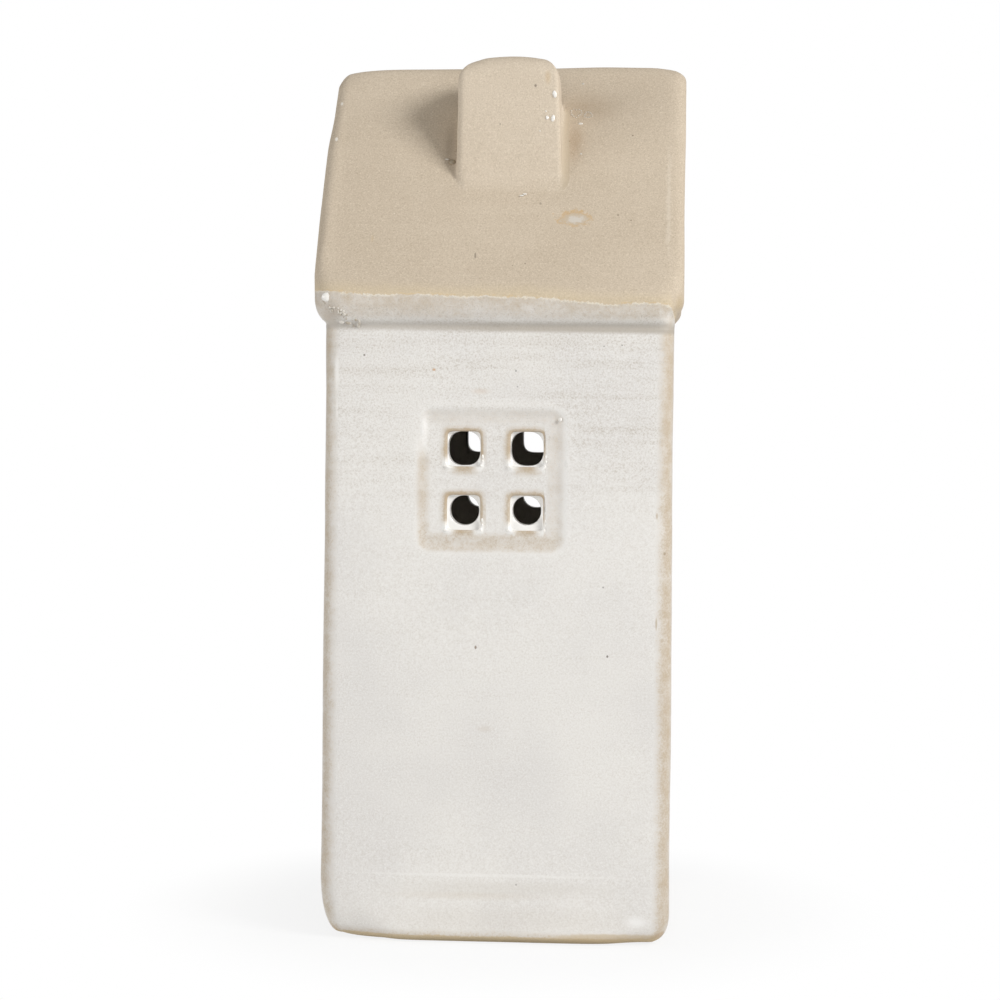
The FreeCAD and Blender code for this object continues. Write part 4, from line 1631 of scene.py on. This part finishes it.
@dataclass
class FloorSlab:
    """Floor of the candle chamber, cast in slip, its top a little uneven."""

    walls: Walls
    low: float = 0.8
    top: float = 5.2
    flat_steps: int = 24
    corner_steps: int = 5

    def build(self) -> Thing:
        """Makes the slab: rings that shrink from its outline to the middle, above and below.

        Returns:
            The floor as one closed mesh.
        """
        cavity, corner = self.walls.cavity, self.walls.cavity_corner
        core = cavity - corner
        flat = np.linspace(-core, core, self.flat_steps + 1)
        loop = Loop(cavity, corner, flat, flat, self.flat_steps, self.corner_steps)
        outline = loop.place + loop.out * corner
        share = np.concatenate([[1.0, 1.0, 0.997, 0.985], np.linspace(0.96, 0.0, 22)])[:, None]
        drop = np.concatenate([[self.top - self.low, 0.5, 0.15, 0.03], np.zeros(22)])[:, None]
        plan = outline[None] * share[..., None]
        points = raised(plan, self.top - drop)
        dip = np.minimum(ripple(points, 16.0, 12) * 0.05 - 0.07, 0.0)
        points[..., 2] += dip * (drop < 0.01)
        under = raised(np.stack([outline, outline * 0.0]), self.low)
        shell = Shell("floor_bare_clay", CLAY_CHANNELS)
        shell.add(points, wrap=True, inner=0.6)
        shell.add(under[::-1], wrap=True, inner=0.3)
        return shell.build()


@dataclass(frozen=True)
class Bead:
    """Drop of stray glaze or crumb of clay: its middle, half lengths and how glazed it is."""

    centre: Point
    radii: Point
    glaze: float = 1.0


@dataclass
class Beads:
    """Small drops and crumbs that were fired onto the house."""

    walls: Walls
    ball_rows: int = 11
    ball_columns: int = 18

    CHIMNEY = (
        Bead((9.3, -18.6, 158.3), (0.42, 0.3, 0.66)),
        Bead((9.05, -18.7, 153.8), (0.4, 0.3, 0.6)),
        Bead((7.95, -18.72, 153.9), (0.26, 0.22, 0.36)),
        Bead((7.7, -18.7, 155.1), (0.13, 0.1, 0.14)),
        Bead((6.6, -18.75, 151.4), (0.12, 0.1, 0.12)),
        Bead((3.3, -20.5, 139.15), (0.42, 0.3, 0.15), 0.9),
        Bead((3.9, -20.3, 139.45), (0.42, 0.3, 0.16), 0.9),
        Bead((13.9, -9.9, 153.7), (0.5, 0.22, 0.26), 0.7),
        Bead((14.2, -14.4, 147.5), (0.26, 0.14, 0.2), 0.6),
        Bead((14.1, -3.75, 162.0), (0.36, 0.2, 0.3), 0.5),
        Bead((-10.2, -15.55, 145.8), (0.6, 0.35, 0.5), 0.0),
        Bead((-11.1, -15.3, 146.4), (0.45, 0.2, 0.16), 0.5),
    )
    LIP = (
        Bead((-31.6, -33.4, 119.5), (0.9, 0.55, 0.95)),
        Bead((-28.9, -32.6, 114.9), (0.5, 0.26, 0.36), 0.6),
        Bead((-27.7, -32.55, 115.1), (0.6, 0.26, 0.6), 0.12),
    )
    WALL = (
        Bead((11.5, -32.0, 97.3), (0.34, 0.2, 0.42), 0.9),
        Bead((29.95, -31.85, 80.1), (0.24, 0.2, 0.8), 0.7),
        Bead((31.1, -31.05, 73.7), (0.3, 0.3, 0.2)),
        Bead((29.85, -31.9, 60.6), (0.16, 0.14, 1.2), 0.8),
    )

    def corners(self) -> list[Bead]:
        """Lumps of glaze at the lower corners of the front window's mouths."""
        window = self.walls.front_window
        lumps = (
            (-3.3, -3.2, (0.46, 0.34, 0.3)), (3.25, -3.1, (0.34, 0.32, 0.42)),
            (3.5, -2.2, (0.2, 0.22, 0.3)), (3.5, -1.4, (0.2, 0.2, 0.4)),
        )
        middles = [window.centre(number) for number in range(len(window.panes))]
        return [Bead((x + right, -31.5, z + up), size) for x, z in middles for right, up, size in lumps]

    def crust(self) -> list[Bead]:
        """Rough crumbs scattered where the glaze crawled, down the lip's left corner to the cove."""
        rng, count = np.random.default_rng(61), 40
        share = np.linspace(0.0, 1.0, count)
        x = -31.7 + 6.2 * share + rng.normal(0.0, 0.4, count)
        z = 118.7 - 4.2 * share ** 0.7 + rng.normal(0.0, 0.5, count)
        lip_heights, lip_stands = (114.0, 115.0, 116.0, 117.0, 118.0, 119.4), (0.0, 0.6, 1.3, 1.8, 2.1, 2.3)
        radius = self.walls.corner + np.interp(z, lip_heights, lip_stands)
        core = self.walls.half - self.walls.corner
        y = -core - np.sqrt(radius ** 2 - np.minimum(x + core, 0.0) ** 2)
        sizes, glaze = rng.uniform(0.14, 0.36, (count, 3)), rng.uniform(0.05, 0.75, count)
        spots = np.stack([x, y, z], axis=-1)
        return [Bead(tuple(spot), tuple(size), part) for spot, size, part in zip(spots, sizes, glaze)]

    def rings(self) -> list[Bead]:
        """Rims of two burst bubbles on the slope beside the chimney, as rings of crumbs."""
        beads = []
        for centre, size in (((12.97, -8.2, 155.97), 1.0), ((15.3, -8.5, 155.56), 0.72)):
            for turn in np.linspace(0.0, 2.0 * np.pi, 13)[:-1]:
                radius = size * (1.0 + 0.14 * math.sin(3.0 * turn + centre[0]) + 0.08 * math.sin(7.0 * turn))
                up = radius * math.sin(turn)
                spot = (centre[0] + radius * math.cos(turn), centre[1] + 0.59 * up, centre[2] + 0.807 * up)
                beads.append(Bead(spot, (0.22, 0.16, 0.17), 0.3))
        return beads

    def build(self) -> Thing:
        """Makes one small closed ellipsoid for each bead, with an uneven outline.

        Returns:
            All beads as one mesh.
        """
        shell = Shell("fired_beads", ("glaze",))
        angle = np.linspace(0.0, np.pi, self.ball_rows)[:, None]
        turn = np.arange(self.ball_columns)[None, :] * 2.0 * np.pi / self.ball_columns
        sine, cosine = np.sin(angle), np.cos(angle)
        ball = np.stack([sine * np.cos(turn), sine * np.sin(turn), cosine * np.ones_like(turn)], axis=-1)
        beads = [*self.CHIMNEY, *self.LIP, *self.WALL, *self.corners(), *self.crust(), *self.rings()]
        for number, bead in enumerate(beads):
            lumpy = 1.0 + 0.16 * ripple(ball, 2.4, 40 + number)[..., None]
            points = ball * lumpy * np.array(bead.radii) + np.array(bead.centre)
            shell.add(points, wrap=True, flip=True, glaze=bead.glaze)
        return shell.build(80.0)


# The tealight


@dataclass
class Tealight:
    """Aluminium cup with its wax, wick and wick sustainer, standing on the floor slab."""

    base: float = 5.5
    radius: float = 19.0
    height: float = 15.5
    sheet: float = 0.4
    bead: float = 0.45
    base_radius: float = 0.9
    wax_level: float = 12.8
    gap: float = 0.15
    wick_radius: float = 0.8
    wick_top: float = 19.9
    disc_radius: float = 6.25
    disc_sheet: float = 0.35
    neck_radius: float = 1.6
    neck_height: float = 4.0
    cup_columns: int = 192
    wax_columns: int = 96
    wick_columns: int = 36
    disc_columns: int = 72
    pleats: float = 48.0

    def lifted(self, rows: Array) -> Array:
        """The same points raised onto the floor slab."""
        return rows + np.array([0.0, 0.0, self.base])

    def cup(self) -> Thing:
        """Pressed cup: drawn side with faint pleats, stepped base and a rolled bead at the rim."""
        turn = np.linspace(-QUARTER, np.pi, 14)
        bead_z = self.height - self.bead
        inner = self.radius - self.sheet
        bead_x = self.radius + self.bead * 0.5 * (1.0 + np.cos(turn)) - 0.02
        bead = np.stack([bead_x, bead_z + self.bead * np.sin(turn)], axis=-1)
        base_turn = np.linspace(0.0, QUARTER, 6)
        base_x = self.radius - self.base_radius + self.base_radius * np.sin(base_turn)
        base = np.stack([base_x, self.base_radius - self.base_radius * np.cos(base_turn)], axis=-1)
        low = [[0.0, 0.25], [9.0, 0.25], [9.6, 0.0], [16.0, 0.0]]
        side = [[self.radius, z] for z in np.linspace(1.2, bead_z - self.bead, 16)]
        inside = [[inner, z] for z in np.linspace(self.height - 0.1, 1.1, 16)]
        inside += [[inner - 0.3, self.sheet + 0.12], [inner - 0.9, self.sheet], [0.0, self.sheet]]
        profile = np.concatenate([np.array(low), base, np.array(side), bead, np.array(inside)])

        def folds(angle: Array, height: Array) -> Array:
            """Shallow upright pleats that fade towards the rim."""
            fold = 0.5 + 0.5 * np.cos(self.pleats * angle)
            return -0.0028 * smooth((10.0 - height) / 9.0) * fold * (height > 0.6)

        shell = Shell("cup_aluminium")
        shell.add(self.lifted(turned(profile, self.cup_columns, folds)), wrap=True)
        return shell.build(40.0)

    def wax(self) -> Thing:
        """Poured wax: it climbs a little at the cup and round the wick, and dips between them."""
        outer = self.radius - self.sheet - self.gap - 0.08
        bore = self.wick_radius + self.gap
        neck, disc = self.neck_radius + self.gap, self.disc_radius + self.gap
        low = self.sheet
        neck_top, disc_top = low + self.neck_height + self.gap, low + self.disc_sheet + self.gap
        across = np.linspace(outer, bore + 0.1, 30)
        edge = 0.55 * np.exp(-(outer - across) / 0.9)
        collar = 0.35 * np.exp(-(across - bore) / 0.7)
        dip = -0.35 * np.sin(np.pi * (across - bore) / (outer - bore)) ** 2
        surface = np.stack([across, self.wax_level - 0.4 + edge + collar + dip], axis=-1)
        walls = np.array([[disc, low], [outer - 0.5, low], [outer, low + 0.9]])
        well = np.array([
            [bore, self.wax_level - 0.3], [bore, neck_top], [neck, neck_top],
            [neck, disc_top], [disc, disc_top], [disc, low],
        ])
        rows = turned(np.concatenate([walls, surface, well]), self.wax_columns)
        top = slice(3, 3 + len(surface))
        rows[top, :, 2] += ripple(rows[top], 9.0, 31) * 0.05
        shell = Shell("candle_wax")
        shell.add(self.lifted(rows), wrap=True)
        return shell.build(50.0)

    def wick(self) -> Thing:
        """Braided wick: a three-stranded stick that leans a little above the wax."""
        rise = np.linspace(self.sheet, self.wick_top, 110)
        profile = np.stack([np.full_like(rise, self.wick_radius * 0.9), rise], axis=-1)
        tip = np.array([[0.55, self.wick_top], [0.0, self.wick_top]])
        foot = np.array([[0.0, self.sheet]])
        profile = np.concatenate([foot, profile, tip])

        def strands(angle: Array, height: Array) -> Array:
            """Two families of three ridges that wind opposite ways, the higher one showing."""
            left = np.cos(3.0 * angle + 2.6 * height)
            right = np.cos(3.0 * angle - 2.6 * height)
            return 0.1 * np.maximum(left, right) - 0.02

        count = self.wick_columns
        rows = turned(profile, count, strands)
        free = np.clip((rows[..., 2] - self.wax_level - 0.5) / 6.5, 0.0, 1.0) ** 2
        rows[..., 0] += 0.75 * free
        rows[..., 1] -= 0.3 * free
        angle = np.arange(count) * 2.0 * np.pi / count
        height = np.broadcast_to(profile[:, 1:], (len(profile), count))
        raised = smooth(strands(angle[None, :], height) * 6.0 + 0.4)
        shell = Shell("wick_cotton", ("strand",))
        shell.add(self.lifted(rows), wrap=True, strand=raised)
        return shell.build(60.0)

    def sustainer(self) -> Thing:
        """Wick sustainer: a thin disc with an embossed ring and a crimped neck."""
        bore = self.wick_radius + self.gap
        low, top = self.sheet, self.sheet + self.disc_sheet
        high = self.sheet + self.neck_height
        disc, neck = self.disc_radius, self.neck_radius
        profile = np.array([
            [bore, low], [2.4, low], [3.4, low + 0.05], [4.4, low], [disc - 0.1, low], [disc, low + 0.12],
            [disc - 0.05, top - 0.05], [disc - 0.2, top], [4.5, top], [3.9, top + 0.06], [3.0, top + 0.06],
            [2.4, top], [2.0, top + 0.03], [neck + 0.02, top + 0.12], [neck - 0.12, top + 0.5],
            [neck - 0.3, low + 1.8], [neck - 0.32, low + 2.6], [neck - 0.12, high - 0.3],
            [neck - 0.1, high], [bore + 0.1, high], [bore, high - 0.1], [bore, low],
        ])
        shell = Shell("sustainer_tinned")
        shell.add(self.lifted(turned(profile, self.disc_columns)), wrap=True)
        return shell.build(40.0)


# Stage, light and camera


@dataclass(frozen=True)
class Studio:
    """Pale floor, soft light from the right, weaker light from the left, and the camera."""

    floor_half: float = 1.6
    key_turn: float = 54.0
    key_height: float = 27.0
    key_size: float = 0.36
    key_power: float = 7.7
    fill_turn: float = -60.0
    fill_height: float = 8.0
    fill_size: float = 0.5
    fill_power: float = 3.5
    aim_height: float = 0.09
    sky: float = 0.29
    camera_place: Point = (0.03019, -0.47209, 0.10192)
    camera_line: Point = (-0.0671, 0.9968, -0.0441)
    camera_roll: float = 0.49
    lens: float = 86.4
    sensor: float = 36.0

    def floor(self) -> Thing:
        """Pale floor that fades to plain white away from the house and keeps its shadow.

        Returns:
            The floor, marked as stage.
        """
        half = self.floor_half
        mesh = bpy.data.meshes.new("stage_floor")
        corners = [(-half, -half, 0.0), (half, -half, 0.0), (half, half, 0.0), (-half, half, 0.0)]
        mesh.from_pydata(corners, [], [(0, 1, 2, 3)])
        made = linked("stage_floor", mesh)
        graph = Graph.material("stage_white")
        away = graph.node("ShaderNodeVectorMath", {"operation": "LENGTH"}, graph.place, output="Value")
        seen, glossy, passed = (
            graph.node("ShaderNodeLightPath", {}, output=f"Is {kind} Ray")
            for kind in ("Camera", "Glossy", "Transmission")
        )
        share = away.ramp(0.036, 0.08, 0.84, 1.0) * (seen + glossy + passed).least(1.0)
        matt = graph.node("ShaderNodeBsdfDiffuse", {}, (0.86, 0.86, 0.855, 1.0))
        white = graph.node("ShaderNodeEmission", {}, (1.0, 1.0, 1.0, 1.0), 1.0)
        mesh.materials.append(graph.finish(graph.node("ShaderNodeMixShader", {}, share, matt, white)))
        return made

    def world(self) -> None:
        """Even white surroundings: plain white to the camera, softer as a light."""
        world = bpy.data.worlds.new("studio_white")
        bpy.context.scene.world = world
        graph = Graph(world)
        seen = graph.node("ShaderNodeLightPath", {}, output="Is Camera Ray")
        passed = graph.node("ShaderNodeLightPath", {}, output="Is Transmission Ray")
        level = seen.most(passed) * (1.0 - self.sky) + self.sky
        light = graph.node("ShaderNodeBackground", {}, (1.0, 1.0, 1.0, 1.0), level)
        graph.node("ShaderNodeOutputWorld", {}, light, output=None)

    def lamp(self, name: str, turn: float, height: float, size: float, power: float) -> None:
        """Square soft light that looks at the house.

        Args:
            name: The light's name.
            turn: Degrees to the right of the front.
            height: Degrees above level.
            size: Side of the light, in metres.
            power: Its power, in watts.
        """
        light = bpy.data.lights.new(name, "AREA")
        light.shape = "SQUARE"
        light.size = size
        light.energy = power
        lamp = linked(name, light)
        angle, lift = math.radians(turn), math.radians(height)
        line = Vector((math.sin(angle) * math.cos(lift), -math.cos(angle) * math.cos(lift), math.sin(lift)))
        lamp.location = Vector((0.0, 0.0, self.aim_height)) + line
        lamp.rotation_euler = line.to_track_quat("Z", "Y").to_euler()

    def camera(self) -> None:
        """Camera at the photograph's place, tilted and rolled as it was."""
        data = bpy.data.cameras.new("studio_camera")
        data.lens = self.lens
        data.sensor_width = self.sensor
        data.clip_start = 0.02
        camera = linked("studio_camera", data)
        forward = Vector(self.camera_line).normalized()
        right = forward.cross(Vector((0.0, 0.0, 1.0))).normalized()
        up = right.cross(forward)
        level = Matrix((right, up, -forward)).transposed()
        rolled = level @ Matrix.Rotation(math.radians(self.camera_roll), 3, "Z")
        camera.matrix_world = Matrix.Translation(Vector(self.camera_place)) @ rolled.to_4x4()
        bpy.context.scene.camera = camera

    def build(self) -> None:
        """Sets up floor, surroundings, lights and camera."""
        self.floor()
        self.world()
        self.lamp("key_soft", self.key_turn, self.key_height, self.key_size, self.key_power)
        self.lamp("fill_wide", self.fill_turn, self.fill_height, self.fill_size, self.fill_power)
        self.camera()
        bpy.context.scene.view_settings.view_transform = "Standard"


def place(made: Thing, material: Finish, body: str, node: str | None) -> None:
    """Dresses a piece and ties it to the frame.

    Args:
        made: The piece's object.
        material: Its finish.
        body: The body it moves with.
        node: The frame's node that it stands for, if any.
    """
    made.data.materials.append(material)
    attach(made, body)
    if node is not None:
        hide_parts(node)
    triangles = sum(len(polygon.vertices) - 2 for polygon in made.data.polygons)
    log.info("%s on %s: %d triangles", made.name, body, triangles)


def main() -> None:
    """Builds the house, the tealight and the studio, and reports each piece."""
    logging.basicConfig(level=logging.INFO, format="%(name)s %(message)s")
    walls = Walls()
    roof = Roof(walls)
    stoneware = Stoneware()
    house = (
        (walls, stoneware.material("stoneware_walls", Spots.WALLS), "house_walls", "white_glaze"),
        (roof, stoneware.material("stoneware_roof", Spots.ROOF), "roof", "bare_clay"),
        (Chimney(roof), stoneware.material("stoneware_chimney", Spots.CHIMNEY), "chimney", "bare_clay"),
        (Beads(walls), BeadFinish().material("fired_drops"), None, "white_glaze"),
        (FloorSlab(walls), stoneware.material("stoneware_floor"), "floor", "bare_clay"),
    )
    for piece, material, node, slot in house:
        place(piece.build(), material, HOUSE_BODY, node)
    tealight = Tealight()
    aluminium = MetalFinish(linear(226, 227, 229), 0.3, (6.0, 6.0, 1.0))
    tin = MetalFinish(linear(200, 200, 202), 0.36, (1.0, 1.0, 4.0))
    candle = (
        (tealight.cup, aluminium.material("aluminium_sheet"), "tealight_cup", "cup_aluminium"),
        (tealight.wax, WaxFinish().material("paraffin_wax"), "tealight_wax", "candle_wax"),
        (tealight.wick, WickFinish().material("braided_cotton"), "tealight_wick", "cotton_wick"),
        (tealight.sustainer, tin.material("tinned_sheet"), "wick_sustainer", "tinned_steel"),
    )
    for make, material, node, slot in candle:
        place(make(), material, CANDLE_BODY, node)
    Studio().build()


if __name__ == "__main__":
    main()
